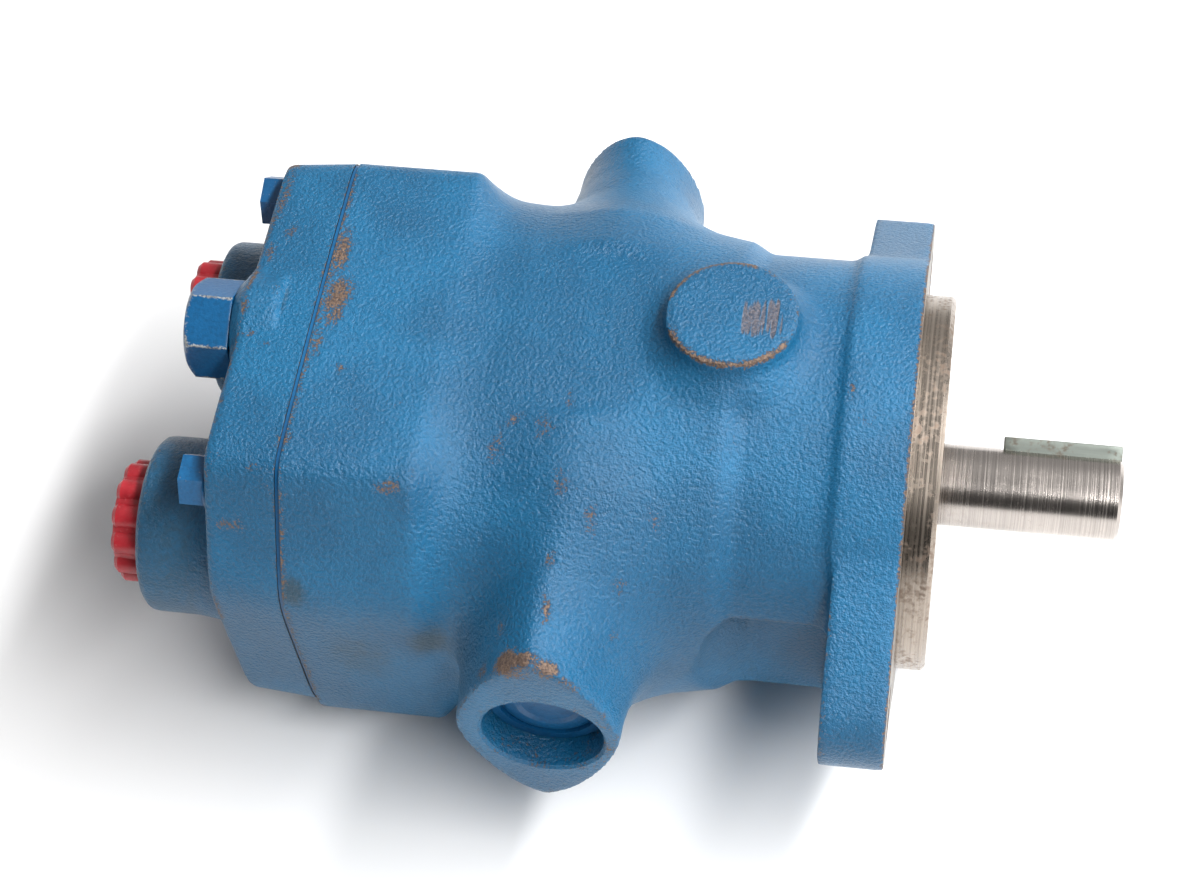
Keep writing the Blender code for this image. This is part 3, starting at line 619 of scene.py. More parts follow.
HOUSING_SCUFFS = (
    (-210.5, 18, 56, 3.2, 11, 6, 0.66), (-208.5, 2, 57, 4.6, 10, 6, 0.74), (-210.5, -13, 56, 2.6, 6, 6, 0.58),
    (-203, -21, 56, 2.0, 3.5, 6, 0.48), (-196, -32, 56, 2.0, 3.0, 6, 0.44),
    (-184.3, -53, 52, 5.0, 2.4, 4, 0.62),
    (-160, -36, 52, 3.0, 8, 9, 0.47), (-156, -30, 53, 4.0, 3, 9, 0.46), (-148, -32, 53, 5.0, 5, 9, 0.45),
    (-143, -24, 54, 2.0, 6, 9, 0.44), (-142, -45.5, 51, 4.0, 6, 9, 0.48), (-134, -52, 46, 3.0, 6, 9, 0.47),
    (-125.6, -62, 29, 3.0, 5, 8, 0.44), (-125.9, -72, 21, 3.0, 3, 5, 0.44), (-118, -48, 40, 3, 4, 6, 0.42),
    (-142.7, -62.7, 40.4, 2.2, 4.5, 4, 0.56), (-142.4, -74, 35, 1.8, 6, 5, 0.58),
    (-157, -86, 22, 3.0, 5, 5, 0.56),
    (-150, -87.5, 30, 7.0, 4, 4, 1.00), (-145.5, -88, 32, 4.5, 3.0, 5, 0.92),
    (-140, -88.5, 31, 4.0, 2.4, 4, 0.84), (-134, -89.5, 27, 5.0, 1.4, 5, 0.62),
    (-72, -15, 57, 1.8, 4.0, 5, 0.50), (-68, -22, 55, 4, 3, 5, 0.40), (-153.8, -77.4, 29, 3.0, 5, 4, 0.44),
    (-100, -30, 54, 3, 3, 5, 0.38), (-186, -30, 56, 2, 3, 5, 0.42), (-190, -22, 56, 2, 2, 5, 0.42))
# Patches of painted shadow on the near side of the rear of the housing, given as x, y, z, reach in x, y, z
# (mm) and strength.
HOUSING_SHADE_PATCHES = ((-210, -68, 23, 5, 6, 6, 1.0), (-176, -69, 6, 7, 6, 9, 0.9), (-196, -66, -4, 14, 8, 20, 0.7))
RIM_WIDTH = 0.0016


def weather_housing(piece):
    points = vertices_of(piece)
    x, y, z = points.T
    out = bulge(piece)
    wear = spots(points, HOUSING_SCUFFS)
    around = np.degrees(np.arctan2(y, x - PAD_X)) % 360
    from_rim = np.hypot(x - PAD_X, y) - PAD_RADIUS
    rim = np.exp(-(from_rim / RIM_WIDTH) ** 2) * np.exp(-((z - PAD_FACE_Z) / RIM_WIDTH) ** 2)
    worn_arcs = ((around > 72) & (around < 172)) | ((around > 205) & (around < 330))
    wear = np.maximum(wear, rim * np.where(worn_arcs, 0.95, 0.44))
    front = np.exp(-((x - FLANGE_FACE_X) / 0.0011) ** 2)
    wear = np.maximum(wear, front * 0.62)
    joint = np.exp(-((x - JOINT_X) / 0.0009) ** 2)
    wear = np.maximum(wear, joint * 0.40)
    wear = np.maximum(wear, np.clip(out * 5.5, 0, 1) * 0.40 + 0.10)
    mark(piece, "wear", wear)
    # Painted shade: creases and hollows, where the surface bends inward, are darkened, and so is all that
    # lies low, more towards the bottom.
    shut_in = np.clip(-out * 9, 0, 1)
    shade_and_dark_paint = np.maximum(spots(points, HOUSING_SHADE_PATCHES), shut_in * 0.8)
    mark(piece, "shade_and_dark_paint", shade_and_dark_paint + np.clip((-z - 0.02) / 0.06, 0, 0.35))
    patch = np.exp(-(((x + 0.0965) / 0.0075) ** 4 + ((y + 0.001) / 0.0085) ** 4))
    mark(piece, "streaks", patch * (z > PAD_FACE_Z - 0.0008) * 1.12)


def split_long(bm, step, rounds, sides, chosen=lambda p: True):
    """Halves edges longer than step whose middle is chosen, and faces left with too many sides."""
    for _ in range(rounds):
        long = [e for e in bm.edges if e.calc_length() > step and chosen((e.verts[0].co + e.verts[1].co) / 2)]
        if not long:
            break
        bmesh.ops.subdivide_edges(bm, edges=long, cuts=1)
        bmesh.ops.triangulate(bm, faces=[f for f in bm.faces if len(f.verts) > sides])


def at_flange_edge(p):
    return -0.0585 < p.x < FLANGE_FACE_X + 0.0001 and math.hypot(p.y, p.z) > 0.054


bm = bmesh.new()
bm.from_mesh(housing.data)
split_long(bm, 0.0009, 4, 4, at_flange_edge)
bm.to_mesh(housing.data)
bm.free()
weather_housing(housing)
blue_casting = sprayed_blue("sprayed_blue_casting")
bare_iron = machined_steel("machined_iron_face", (150, 146, 140), "X", 900, 0.55, 0.34)
housing.data.materials.append(blue_casting)
housing.data.materials.append(bare_iron)
for face in housing.data.polygons:
    in_front = face.center.x > FLANGE_FACE_X - 0.0004 and face.normal.x > 0.9
    inward = face.center.y * face.normal.y + face.center.z * face.normal.z < 0
    in_bore = math.hypot(face.center.y, face.center.z) < 0.0535 and inward
    face.material_index = 1 if in_front or in_bore else 0
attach(housing, "casing")
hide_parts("housing")


# Pilot and mounting register
# The round step that centres the pump on its mounting is part of the housing casting, left bare
# from the lathe: fine turned lines, a small lead chamfer, and the bore behind it for the seal.
PILOT_RADIUS, PILOT_FACE_X = 0.0508, -0.0480
register = [(FLANGE_FACE_X - 0.0004, 0.0262), (FLANGE_FACE_X - 0.0004, PILOT_RADIUS),
            (-0.0492, PILOT_RADIUS), (PILOT_FACE_X, 0.0497), (PILOT_FACE_X, 0.0330), (-0.0500, 0.0318),
            (-0.0500, 0.0262)]
pilot = lathe("pilot_register", register, 192, closed=True)
soft_shading(pilot)
pilot.data.materials.append(machined_steel("turned_pilot", (176, 164, 152), "X", 1500, 0.50, 0.22))
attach(pilot, "casing")


# Valve block
# The rear casting that closes the housing: it carries the two round port bosses and the raised
# neck of the compensator bore, and is sprayed with the housing. Its front face is ground flat.
BLOCK_FACES = ((87.5, 0.0576), (29, 0.0720), (-6.3, 0.0684), (-42, 0.0748), (-88, 0.0552))
BLOCK_FRONT_X, BLOCK_REAR_X = -0.2140, -0.2333
PORTS = (("near", -0.036, 0.0240, -0.2580), ("far", 0.036, 0.0225, -0.2550))
PORT_BORE_RADIUS = 0.0150
COMPENSATOR_Z, CONTROL_BORE_Z = 0.042, -0.0439


def block_field(x, y, z):
    stations = [(-0.2060, faceted(BLOCK_FACES)), (BLOCK_FRONT_X, faceted(BLOCK_FACES)),
                (BLOCK_REAR_X + 0.002, faceted(BLOCK_FACES, 0.0013)), (-0.2400, faceted(BLOCK_FACES, 0.0016))]
    body = swept(x, y, z, stations)
    body = trimmed(body, BLOCK_REAR_X - x, 0.0022)
    body = np.maximum(body, x + 0.2060)
    for _, side, radius, face in PORTS:
        boss = np.hypot(y - side, z) - radius - 0.0012 * smooth_step((x - BLOCK_REAR_X + 0.012) / 0.012)
        boss = trimmed(boss, face - x, 0.0030)
        boss = np.maximum(boss, x + 0.2180)
        body = blended(body, boss, 0.0035)
    flare = 0.0035 * smooth_step((x - BLOCK_REAR_X + 0.0035) / 0.0045)
    neck = np.hypot(y, z - COMPENSATOR_Z) - 0.0128 - flare
    neck = np.maximum(neck, np.maximum(BLOCK_REAR_X - 0.0032 - x, x + 0.2235))
    body = blended(body, neck, 0.0016)
    for y0, z0 in BOLT_PLACES[2:]:
        foot = np.maximum(BLOCK_REAR_X - 0.0004 - x, x + 0.2180)
        body = blended(body, np.maximum(np.hypot(y - y0, z - z0) - 0.0088, foot), 0.0014)
    return body


def drill(start, end, radius, steps, y=0, z=0):
    """A cutter for a plain hole along X."""
    return lathe("cutter", [(start, radius), (end, radius)], steps, Matrix.Translation((0, y, z)))


block = cast("valve_block_casting", block_field, (-0.2640, -0.0760, -0.0640), (-0.2040, 0.0760, 0.0660))
cutters = [cuboid("cutter", (BLOCK_FRONT_X, -0.1, -0.1), (-0.19, 0.1, 0.1)),
           drill(-0.2130, -0.2302, 0.0123, 48),
           drill(-0.2450, -0.2180, 0.0062, 32, 0, COMPENSATOR_Z),
           drill(-0.2130, -0.2310, 0.0049, 32, 0, CONTROL_BORE_Z)]
for _, side, _, face in PORTS:
    port = [(face - 0.004, PORT_BORE_RADIUS + 0.0042), (face - 0.0001, PORT_BORE_RADIUS + 0.0012),
            (face + 0.0012, PORT_BORE_RADIUS), (-0.2250, PORT_BORE_RADIUS)]
    cutters.append(lathe("cutter", port, 72, Matrix.Translation((0, side, 0))))
    cutters.append(drill(-0.2258, -0.2130, 0.0050, 24, math.copysign(0.0275, side)))
for y0, z0 in BOLT_PLACES:
    cutters.append(drill(-0.2130, -0.2440, 0.0043, 24, y0, z0))
    cutters.append(drill(BLOCK_REAR_X + 0.00001, -0.2440, 0.0078, 40, y0, z0))
machine(block, cutters)
soft_shading(block)

BLOCK_SCUFFS = (
    (-231.5, 52, 51, 3.0, 5, 6, 0.76), (-230.5, 38, 53, 2.0, 16, 4, 0.62), (-226, 24, 57, 2.5, 5, 4, 0.60),
    (-230, 17, 57, 2.0, 5, 4, 0.64), (-232.2, 7, 57, 1.3, 7, 3, 0.74), (-231.8, -4, 57, 1.3, 5, 3, 0.70),
    (-229.5, -11, 57, 2.4, 1.8, 4, 0.66), (-225, -14, 57, 3.0, 1.3, 4, 0.60), (-232, 28, 52, 1.4, 9, 6, 0.60),
    (-230.5, -48, 51, 5.0, 2.0, 3, 0.66), (-219, -51, 51, 4.5, 1.6, 3, 0.66),
    (-226, -60, 38, 6.0, 1.6, 4, 0.56),
    (-216, -52, 48, 2.0, 5, 9, 0.48), (-232, -69, 10, 1.6, 3, 12, 0.58), (-228, -30, 57, 1.5, 6, 3, 0.44))


def weather_block(piece):
    points = vertices_of(piece)
    x, y, z = points.T
    out = bulge(piece)
    edge = np.clip(out * 5.0, 0, 1) * 0.42 + 0.10
    rear_edge = np.exp(-((x - BLOCK_REAR_X - 0.0005) / 0.0012) ** 2) * (np.abs(z) > 0.046) * 0.46
    mark(piece, "wear", np.maximum(np.maximum(spots(points, BLOCK_SCUFFS), edge), rear_edge))
    # The bosses and neck that stand out behind the rear face are darkened, partly for their darker paint and
    # partly as painted shade; creases get painted shade too, and so does all that lies low, more towards the
    # bottom.
    behind = np.clip((BLOCK_REAR_X - x) / 0.010, 0, 1) * 0.55
    shade_and_dark_paint = np.maximum(np.clip(-out * 9, 0, 1) * 0.9, behind)
    mark(piece, "shade_and_dark_paint", shade_and_dark_paint + np.clip((-z - 0.02) / 0.06, 0, 0.4))
    patch = np.exp(-((x + 0.2225) / 0.007) ** 4 - ((y - 0.006) / 0.014) ** 4)
    mark(piece, "streaks", patch * (z > 0.05) * 0.5)


weather_block(block)
block.data.materials.append(blue_casting)
block.data.materials.append(bare_iron)
for face in block.data.polygons:
    near_port = any(math.hypot(face.center.y - side, face.center.z) < 0.0158 for _, side, _, _ in PORTS)
    in_port = near_port and face.center.x < -0.2245
    flat_front = face.center.x > BLOCK_FRONT_X - 0.0002 and face.normal.x > 0.9
    face.material_index = 1 if in_port or flat_front else 0
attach(block, "casing")
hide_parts("valve_block")


# Gasket
# A thin paper sheet pinched between the housing and the valve block. Its edge is sprayed over with
# them and sits a little low, so it shows as a fine dark line all round the joint.
FITTING_TONE, FITTING_DARK, FITTING_WORN = (14, 94, 144), (12, 78, 124), rgb(170, 176, 178)


def plate(name, edge, start, end):
    """A flat-ended solid along X whose outline is given as (y, z) points."""
    return skinned(name, [[(x, y, z) for y, z in edge] for x in (start, end)])


blue_fitting = sprayed_blue("sprayed_blue_fitting", FITTING_TONE, FITTING_DARK, 0.00025, 0.4, FITTING_WORN)
edge = [(r * math.cos(a), r * math.sin(a)) for a, r in zip(DIRECTIONS[:-1], faceted(BLOCK_FACES, 0.0004))]
sheet = plate("joint_sheet", edge, JOINT_X - 0.0001, BLOCK_FRONT_X + 0.0001)
openings = [drill(-0.2100, -0.2160, 0.0483, 96)]
for y0, z0 in BOLT_PLACES:
    openings.append(drill(-0.2100, -0.2160, 0.0042, 20, y0, z0))
machine(sheet, openings)
soft_shading(sheet, 20)
sheet.data.materials.append(blue_fitting)
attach(sheet, "casing")
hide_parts("housing_gasket")


# Cover bolts
# Four hexagon-head bolts hold the valve block to the housing. They are painted over with it, so
# only the heads, their chamfered corners and the washer faces under them show.
BOLT_HEAD_ACROSS_FLATS, BOLT_HEAD_HEIGHT = 0.0127, 0.0068
BOLT_SHANK_RADIUS, BOLT_SHANK_LENGTH, WASHER_FACE_HEIGHT = 0.0040, 0.038, 0.0006


def start_tree(name, sizes):
    """A geometry tree with named number inputs; gives the tree and each input's socket."""
    tree = bpy.data.node_groups.new(name, "GeometryNodeTree")
    for label, value in sizes.items():
        kind = "NodeSocketInt" if isinstance(value, int) else "NodeSocketFloat"
        socket = tree.interface.new_socket(label, in_out="INPUT", socket_type=kind)
        socket.default_value = value
    tree.interface.new_socket("Geometry", in_out="OUTPUT", socket_type="NodeSocketGeometry")
    given = tree.nodes.new("NodeGroupInput")
    return tree, {label: given.outputs[label] for label in sizes}


def finish_tree(tree, geometry, finish, shade_smooth=False):
    """Ends a tree in Realize Instances and Set Material."""
    real = result(tree, "GeometryNodeRealizeInstances", {0: geometry})
    smooth = result(tree, "GeometryNodeSetShadeSmooth", {"Geometry": real, "Shade Smooth": shade_smooth})
    coated = result(tree, "GeometryNodeSetMaterial", {"Geometry": smooth, "Material": finish})
    put(tree, "NodeGroupOutput", {0: coated})


def grown(name, tree, sizes):
    """A plain mesh piece made by a geometry tree."""
    seed = linked("seed", bpy.data.meshes.new("seed"))
    growth = seed.modifiers.new("growth", "NODES")
    growth.node_group = tree
    for item in tree.interface.items_tree:
        if item.item_type == "SOCKET" and item.in_out == "INPUT":
            growth[item.identifier] = sizes[item.name]
    data = bpy.data.meshes.new_from_object(seed.evaluated_get(bpy.context.evaluated_depsgraph_get()))
    data.name = name
    seed.modifiers.clear()
    bpy.data.objects.remove(seed)
    return linked(name, data)


def shifted(tree, geometry, offset=(0.0, 0.0, 0.0), turn=(0.0, 0.0, 0.0)):
    moves = {"Geometry": geometry, "Translation": offset, "Rotation": turn}
    return result(tree, "GeometryNodeTransform", moves)


def raised_by(tree, geometry, height):
    """Geometry moved along Z by a height that the tree works out."""
    return shifted(tree, geometry, result(tree, "ShaderNodeCombineXYZ", {"Z": height}))


def rod(tree, sides, radius, depth):
    return result(tree, "GeometryNodeMeshCylinder", {"Vertices": sides, "Radius": radius, "Depth": depth})


def taper(tree, sides, top, bottom, depth):
    sockets = {"Vertices": sides, "Radius Top": top, "Radius Bottom": bottom, "Depth": depth}
    return result(tree, "GeometryNodeMeshCone", sockets)


def gathered(tree, parts):
    """Several geometries as one."""
    whole = put(tree, "GeometryNodeJoinGeometry")
    for part in parts:
        tree.links.new(part, whole.inputs[0])
    return whole.outputs[0]


def bolt_tree(finish):
    """Hexagon heads with coned corners, a washer face and a shank, one at each place along X."""
    sizes = {"Across flats": BOLT_HEAD_ACROSS_FLATS, "Height": BOLT_HEAD_HEIGHT,
             "Shank radius": BOLT_SHANK_RADIUS, "Shank length": BOLT_SHANK_LENGTH}
    tree, given = start_tree("cover_bolts", sizes)
    width, height, shank_radius, shank_length = given.values()
    corner = times(tree, width, 1 / math.sqrt(3))
    hexagon = rod(tree, 6, corner, height)
    cone = taper(tree, 48, times(tree, width, 0.47), times(tree, width, 0.86), times(tree, height, 1.5))
    head = put(tree, "GeometryNodeMeshBoolean", operation="INTERSECT", solver="EXACT")
    tree.links.new(hexagon, head.inputs[1])
    tree.links.new(raised_by(tree, cone, times(tree, height, -0.5)), head.inputs[1])
    head = raised_by(tree, head.outputs[0], times(tree, height, 0.5))
    washer = rod(tree, 40, corner, WASHER_FACE_HEIGHT)
    shank = raised_by(tree, rod(tree, 20, shank_radius, shank_length), times(tree, shank_length, -0.5))
    bolt = gathered(tree, (head, washer, shank))
    seated = []
    for number, (y, z) in enumerate(BOLT_PLACES):
        spun = shifted(tree, bolt, turn=(0, 0, 0.4 + 0.9 * number))
        seated.append(shifted(tree, spun, (BLOCK_REAR_X - 0.0004, y, z), (0, -math.pi / 2, 0)))
    finish_tree(tree, gathered(tree, seated), finish)
    return tree, sizes


bolts = grown("cover_bolts", *bolt_tree(blue_fitting))
mark(bolts, "wear", np.clip(bulge(bolts) * 1.2, 0, 1) * 0.35)
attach(bolts, "casing")
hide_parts("cover_bolt_1", "cover_bolt_2", "cover_bolt_3", "cover_bolt_4")


# Compensator cap
# A large hexagon plug screwed into the top bore of the valve block, on a narrow collar. Its outer
# end is coned, and the paint is rubbed to pale metal at the corners where a spanner has been.
CAP_ACROSS_FLATS, CAP_END_X, CAP_SEAT_X = 0.0235, -0.2490, -0.2366


def finely_cut(piece, width, step):
    """Rounds sharp edges by width and cuts long faces, so that wear can follow the corners."""
    bm = bmesh.new()
    bm.from_mesh(piece.data)
    bmesh.ops.remove_doubles(bm, verts=bm.verts, dist=1e-6)
    bmesh.ops.dissolve_limit(bm, angle_limit=0.02, verts=bm.verts, edges=bm.edges)
    sharp = [e for e in bm.edges if len(e.link_faces) == 2 and e.calc_face_angle(0) > 0.35]
    bmesh.ops.bevel(bm, geom=sharp, offset=width, segments=2, profile=0.6, affect="EDGES", clamp_overlap=True)
    bmesh.ops.triangulate(bm, faces=bm.faces)
    split_long(bm, step, 7, 3)
    bm.to_mesh(piece.data)
    bm.free()


cap_radius = CAP_ACROSS_FLATS / math.sqrt(3)
turns = [math.pi / 3 * (i + 0.5) for i in range(6)]
corners = [(cap_radius * math.cos(a), COMPENSATOR_Z + cap_radius * math.sin(a)) for a in turns]
cap = plate("compensator_hexagon_cap", corners, CAP_SEAT_X, CAP_END_X)
raised = Matrix.Translation((0, 0, COMPENSATOR_Z))
cone = [(CAP_SEAT_X + 0.002, 0.0160), (CAP_END_X + 0.0018, 0.0138), (CAP_END_X - 0.0002, 0.0111)]
machine(cap, [lathe("cutter", cone, 96, raised)], "INTERSECT")
collar_ring = [(-0.2330, 0.0059), (-0.2330, 0.0048), (-0.2450, 0.0048), (-0.2450, 0.0059)]
collar = lathe("compensator_cap_collar", collar_ring, 40, raised, True)
finely_cut(cap, 0.0003, 0.0016)
cap_points = vertices_of(cap)
corner = np.hypot(cap_points[:, 1], cap_points[:, 2] - COMPENSATOR_Z) / cap_radius
rim_wear = np.exp(-((cap_points[:, 0] - CAP_END_X) / 0.0016) ** 2) * np.clip((corner - 0.80) * 6, 0, 1)
edge_wear = np.clip((corner - 0.955) * 22, 0, 1) * 0.40
mark(cap, "wear", np.maximum(rim_wear * 0.95, edge_wear * 1.7))
soft_shading(cap, 20)
cap.data.materials.append(blue_fitting)
soft_shading(collar)
collar.data.materials.append(machined_steel("cap_thread_steel", (120, 124, 128), "X", 2200, 0.3, 0.35))
for piece in (cap, collar):
    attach(piece, "casing")
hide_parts("compensator_cap")


# Port plugs
# Moulded shipping plugs in dull red plastic, pushed into the two ports: a lobed grip stands out of
# each port face round a shallow dish, and a hollow stem goes down the bore.
PLUG_LOBES, PLUG_RADIUS, PLUG_REACH = 12, 0.0167, 0.0085
LOBE_RADIUS, LOBE_TIP_RADIUS, LOBE_TIP_LENGTH = 0.0036, 0.0025, 0.0012


def moulded_red():
    made, tree, shader, where = new_finish("moulded_red_plastic")
    cloud = noise(tree, where, 160, 3.0)
    scuff = noise(tree, where, 900, 4.0, 0.7)
    tone = mixed(tree, remap(tree, cloud, 0.3, 0.7), rgb(150, 26, 36), rgb(182, 40, 50))
    chalky = remap(tree, scuff, 0.56, 0.72, 0.0, 0.35)
    tone = mixed(tree, chalky, tone, rgb(206, 108, 110))
    fill(tree, shader, Base_Color=tone, Roughness=remap(tree, scuff, 0.3, 0.7, 0.34, 0.50),
         Normal=bumped(tree, 0.3, 0.00015, scuff))
    return made


def ring_of(tree, count, radius, geometry):
    """Copies of a geometry at even steps round a circle."""
    circle = result(tree, "GeometryNodeMeshCircle", {"Vertices": count, "Radius": radius})
    return result(tree, "GeometryNodeInstanceOnPoints", {"Points": circle, "Instance": geometry})


def lobed_tree(finish):
    """A ring of rounded lobes round the X axis, the grip of a plug."""
    sizes = {"Lobes": PLUG_LOBES, "Lobe radius": LOBE_RADIUS, "Circle radius": PLUG_RADIUS - LOBE_RADIUS,
             "Reach": PLUG_REACH}
    tree, given = start_tree("plug_lobes", sizes)
    count, lobe_radius, circle_radius, reach = given.values()
    straight = reckon(tree, "SUBTRACT", reach, LOBE_TIP_LENGTH)
    half = times(tree, straight, 0.5)
    tip_radius = reckon(tree, "SUBTRACT", lobe_radius, LOBE_RADIUS - LOBE_TIP_RADIUS)
    tip = raised_by(tree, taper(tree, 20, tip_radius, lobe_radius, LOBE_TIP_LENGTH), half)
    whole = gathered(tree, (rod(tree, 20, lobe_radius, straight), tip))
    lifted = raised_by(tree, ring_of(tree, count, circle_radius, whole), half)
    finish_tree(tree, shifted(tree, lifted, turn=(0, -math.pi / 2, 0)), finish)
    return tree, sizes


def joined(name, pieces):
    """One piece made of several that touch, in the first one's finish."""
    finish = pieces[0].data.materials[0]
    bm = bmesh.new()
    for piece in pieces:
        bm.from_mesh(piece.data)
        bpy.data.objects.remove(piece)
    whole = piece_from(name, bm)
    for face in whole.data.polygons:
        face.material_index = 0
    whole.data.materials.append(finish)
    return whole


red_plastic = moulded_red()
for name, side, radius, face in PORTS:
    rim = face - 0.0003
    lobes = grown("lobes", *lobed_tree(red_plastic))
    lobes.data.transform(Matrix.Translation((rim, side, 0)))
    tip = rim - PLUG_REACH
    body = [(rim, 0.0148), (rim, 0.0152), (tip + 0.0012, 0.0150), (tip, 0.0140), (tip, 0.0098),
            (tip + 0.0008, 0.0090), (rim - 0.0050, 0.0086), (rim - 0.0044, 0.0070), (rim - 0.0044, 0.0030),
            (rim - 0.0052, 0.0024), (rim - 0.0052, 0.0004), (rim - 0.0028, 0.0004), (rim - 0.0028, 0.0122),
            (face + 0.0125, 0.0124), (face + 0.0128, 0.0130), (face + 0.0122, 0.0143),
            (face + 0.0100, 0.0146), (face + 0.0096, 0.0143), (face + 0.0070, 0.0143),
            (face + 0.0066, 0.0146)]
    shell = lathe("plug_shell", body, 72, Matrix.Translation((0, side, 0)), True)
    shell.data.materials.append(red_plastic)
    plug = joined(f"port_plug_grip_{name}", [shell, lobes])
    soft_shading(plug, 40)
    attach(plug, f"port_plug_{name}")
    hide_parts(f"port_plug_{name}")


# Pintle covers
# Each pintle bore is shut by a dished steel plug, set back in the bore and sprayed over with the
# casting, and kept in by a spring ring in a groove, which shows as a dark line round it.
dish = [(0.0745, 0.0140), (0.0755, 0.0156), (0.0798, 0.0156), (0.0801, 0.0150), (0.0801, 0.0128),
        (0.0809, 0.0120), (0.0813, 0.0110), (0.0813, 0.0085), (0.0806, 0.0074), (0.0805, 0.0002)]
for name, side in (("near", -1), ("far", 1)):
    cover = lathe(f"pintle_cover_{name}", [(side * reach, radius) for reach, radius in dish], 72, across)
    soft_shading(cover, 25)
    mark(cover, "wear", np.full(len(cover.data.vertices), 0.16))
    cover.data.materials.append(blue_fitting)
    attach(cover, "casing")
    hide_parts(f"pintle_plug_{name}")


# Drive shaft and key
# The shaft is turned and ground from one bar: bright fine lines round it, a chamfer and a centre
# hole at its end, and a keyseat milled along it with a plain square key pressed in.
SHAFT_RADIUS, KEY_SIDE, KEY_LENGTH, KEY_TURN = 0.0111125, 0.00635, 0.032, math.radians(-53)
r = SHAFT_RADIUS
turning = [(-0.0035, 0.0006), (0.0, 0.0026), (0.0, r - 0.0010), (-0.0010, r), (-0.0697, r), (-0.0703, 0.0150),
           (-0.0866, 0.0150), (-0.0866, 0.0180), (-0.0900, 0.0180), (-0.0920, 0.0100), (-0.1655, 0.0100),
           (-0.1660, 0.0105), (-0.2095, 0.0105), (-0.2100, 0.0085), (-0.2280, 0.0085), (-0.2290, 0.0075)]
shaft = lathe("drive_shaft_bar", turning, 128)
low_side = SHAFT_RADIUS - KEY_SIDE / 2
half = KEY_SIDE / 2
slack = half + 0.00012
keyseat = cuboid("cutter", (-KEY_LENGTH - 0.0006, -slack, low_side - 0.0002), (0.001, slack, 0.02))
keyseat.data.transform(Matrix.Rotation(KEY_TURN, 4, "X"))
machine(shaft, [keyseat])
soft_shading(shaft)
shaft.data.materials.append(machined_steel("ground_shaft_steel", (194, 186, 180), "X", 2400, 0.06, 0.17))
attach(shaft, "shaft_assembly")
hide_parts("drive_shaft")
key = cuboid("square_key", (-KEY_LENGTH, -half, low_side), (-0.0005, half, low_side + KEY_SIDE))
finely_cut(key, 0.00035, 0.004)
key.data.transform(Matrix.Rotation(KEY_TURN, 4, "X"))
soft_shading(key, 25)
key.data.materials.append(machined_steel("drawn_key_steel", (124, 130, 124), "Y", 420, 0.4, 0.42))
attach(key, "shaft_assembly")
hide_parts("shaft_key")


# Shaft seal
# A lip seal pressed into the bore behind the pilot: a rubber-covered case and a thin lip that
# leans on the shaft, kept in by nothing but its tight fit.
def seal_rubber():
    made, tree, shader, where = new_finish("moulded_seal_rubber")
    bloom = noise(tree, where, 300, 4.0, 0.65)
    tone = mixed(tree, remap(tree, bloom, 0.35, 0.7), rgb(20, 20, 21), rgb(46, 45, 44))
    fill(tree, shader, Base_Color=tone, Roughness=remap(tree, bloom, 0.3, 0.7, 0.45, 0.7),
         Normal=bumped(tree, 0.4, 0.0001, noise(tree, where, 1500)))
    return made


lip = [(-0.0523, 0.0207), (-0.0617, 0.0207), (-0.0617, 0.0116), (-0.0600, 0.0116), (-0.0590, 0.0135),
       (-0.0560, 0.0135), (-0.0548, 0.0117), (-0.0530, 0.0117), (-0.0526, 0.0135), (-0.0532, 0.0150),
       (-0.0532, 0.0180), (-0.0523, 0.0188)]
seal = lathe("shaft_lip_seal", lip, 96, closed=True)
soft_shading(seal, 30)
seal.data.materials.append(seal_rubber())
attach(seal, "casing")
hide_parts("shaft_seal")


# Front bearing
# A deep-groove ball bearing on the shaft: two ground rings, and between them the balls in a thin
# cage. The cage is shown as a plain ring, in one piece with the balls, that turns with the shaft.
BEARING_X, CAGE_HALF_WIDTH = -0.0782, 0.0012


def ball_tree(finish):
    sizes = {"Balls": 8, "Ball radius": 0.0033, "Pitch radius": 0.0231}
    tree, given = start_tree("bearing_balls", sizes)
    count, ball_radius, pitch_radius = given.values()
    ball = result(tree, "GeometryNodeMeshUVSphere", {"Segments": 20, "Rings": 12, "Radius": ball_radius})
    placed = ring_of(tree, count, pitch_radius, ball)
    finish_tree(tree, shifted(tree, placed, (BEARING_X, 0, 0), (0, -math.pi / 2, 0)), finish, True)
    return tree, sizes


polished = machined_steel("polished_bearing_steel", (188, 190, 192), "X", 3000, 0.12, 0.12)
balls = grown("balls", *ball_tree(polished))
front, back = BEARING_X + CAGE_HALF_WIDTH, BEARING_X - CAGE_HALF_WIDTH
cage = lathe("cage", [(front, 0.0217), (front, 0.0245), (back, 0.0245), (back, 0.0217)], 72, closed=True)
cage.data.materials.append(polished)
ball_ring = joined("front_bearing_ball_ring", [cage, balls])
soft_shading(ball_ring, 40)
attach(ball_ring, "shaft_assembly")
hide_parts("front_bearing_balls")


# Springs
# Round-wire coils with open ends. One turns inside the cylinder block and loads it against the
# valve plate, one leans on the yoke's upper arm and one on the compensator spool.
def coil_tree(name, sizes, finish):
    """A round wire wound along X from the origin."""
    tree, given = start_tree(name, sizes)
    turns, coil_radius, wire_radius, length = given.values()
    spiral = result(tree, "GeometryNodeCurveSpiral", {
        "Resolution": 24, "Rotations": turns, "Start Radius": coil_radius, "End Radius": coil_radius,
        "Height": length})
    wire = {"Resolution": 10, "Radius": wire_radius}
    wire = result(tree, "GeometryNodeCurvePrimitiveCircle", wire, mode="RADIUS")
    sockets = {"Curve": spiral, "Profile Curve": wire, "Fill Caps": True}
    rolled = result(tree, "GeometryNodeCurveToMesh", sockets)
    finish_tree(tree, shifted(tree, rolled, turn=(0, math.pi / 2, 0)), finish, True)
    return tree


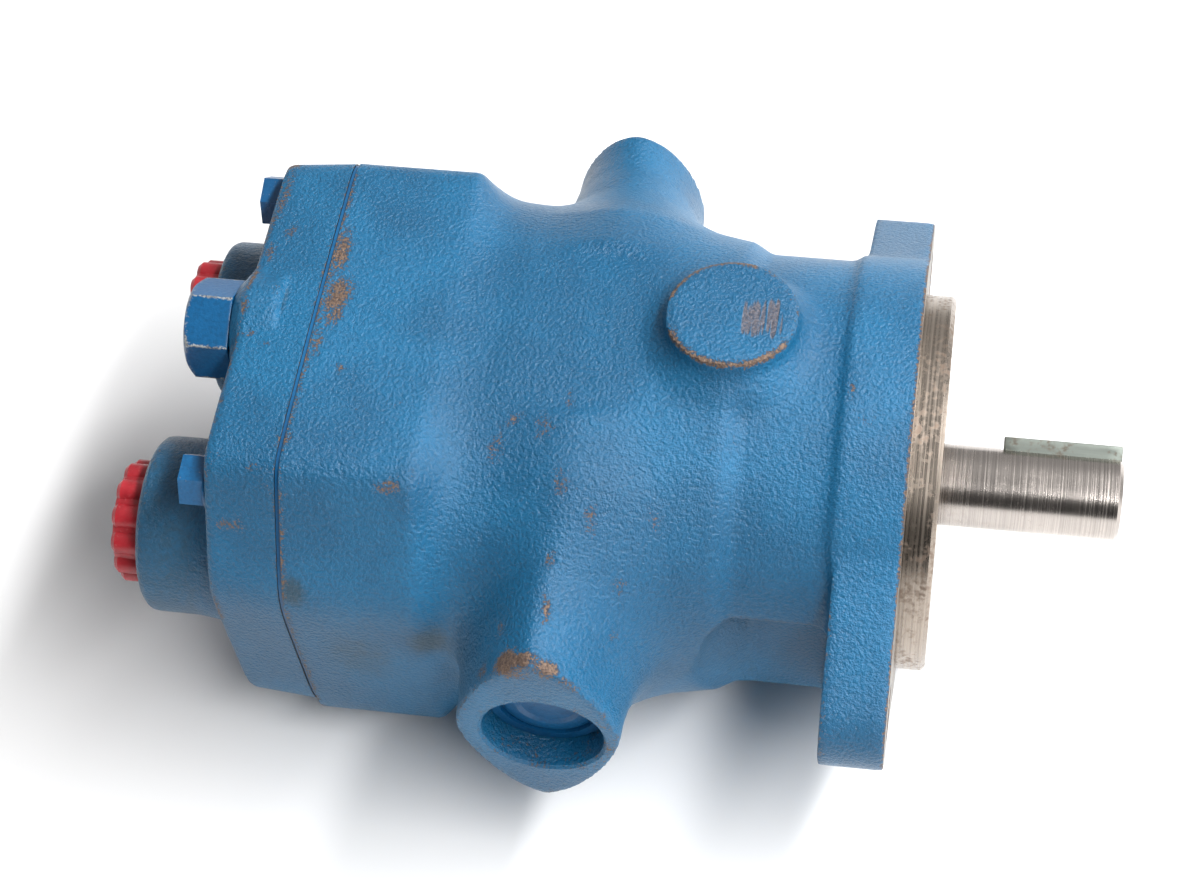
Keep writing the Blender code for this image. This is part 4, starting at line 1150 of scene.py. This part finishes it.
def wound(node, body, turns, coil_radius, wire_radius, height):
    """A coil as long as the node that it replaces, riding on a body; gives it and its two ends."""
    start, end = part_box(node)[0][0] + wire_radius * 1.1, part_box(node)[1][0] - wire_radius * 1.1
    sizes = {"Turns": turns, "Coil radius": coil_radius, "Wire radius": wire_radius, "Length": end - start}
    coil = grown(f"{node}_coil", coil_tree(node, sizes, oiled_wire), sizes)
    coil.data.transform(Matrix.Translation((start, 0, height)))
    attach(coil, body)
    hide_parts(node)
    return coil, start, end


YOKE_SPRING_TRAVEL, SPOOL_TRAVEL, YOKE_ARM_REACH = 0.0150, 0.0027, 0.0439
oiled_wire = machined_steel("oiled_spring_wire", (92, 94, 98), "X", 700, 0.3, 0.32)
wound("block_spring", "shaft_assembly", 5.5, 0.0126, 0.0011, 0.0)
coil, start, end = wound("yoke_spring", "casing", 11.0, 0.0032, 0.0008, YOKE_ARM_REACH)
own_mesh(coil)
coil, start, end = wound("compensator_spring", "casing", 5.0, 0.0037, 0.0006, COMPENSATOR_Z)
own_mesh(coil)


# Parts inside the casing
# Ground rings, pistons, pins and plates keep their shape from the frame. Hardened parts are ground
# bright, the block, yoke and retainer are dark oiled steel, and the shoes and washer are bronze.
def lapped_bronze():
    made, tree, shader, where = new_finish("lapped_bronze")
    grain = noise(tree, where, 520, 3.0)
    tone = mixed(tree, remap(tree, grain, 0.3, 0.7), rgb(150, 104, 56), rgb(190, 142, 84))
    fill(tree, shader, Base_Color=tone, Metallic=1.0, Roughness=remap(tree, grain, 0.3, 0.7, 0.24, 0.38),
         Normal=bumped(tree, 0.3, 0.00005, noise(tree, where, 2000)))
    return made


def dress(node, finish):
    """Gives a CAD node its finish."""
    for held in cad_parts[node].material_slots:
        held.material = finish


bright = machined_steel("bright_ground_steel", (190, 190, 188), "X", 2400, 0.18, 0.18)
oiled = machined_steel("dark_oiled_steel", (96, 98, 102), "Y", 600, 0.35, 0.34, (70, 58, 46))
bronze = lapped_bronze()
by_finish = {bright: ("front_bearing_outer_ring", "front_bearing_inner_ring", "rear_bearing", "valve_plate",
                      "swash_plate", "pintle_near", "pintle_far", "control_piston", "compensator_spool"),
             oiled: ("front_bearing_snap_ring", "cylinder_block", "shoe_retainer_plate", "yoke",
                     "control_piston_sleeve", "pintle_bearing_near", "pintle_bearing_far"),
             blue_fitting: ("pintle_snap_ring_near", "pintle_snap_ring_far"),
             bronze: ("spherical_washer",)}
for finish, nodes in by_finish.items():
    for node in nodes:
        dress(node, finish)
for number in range(1, 10):
    dress(f"piston_{number}", bright)
    dress(f"piston_shoe_{number}", bronze)
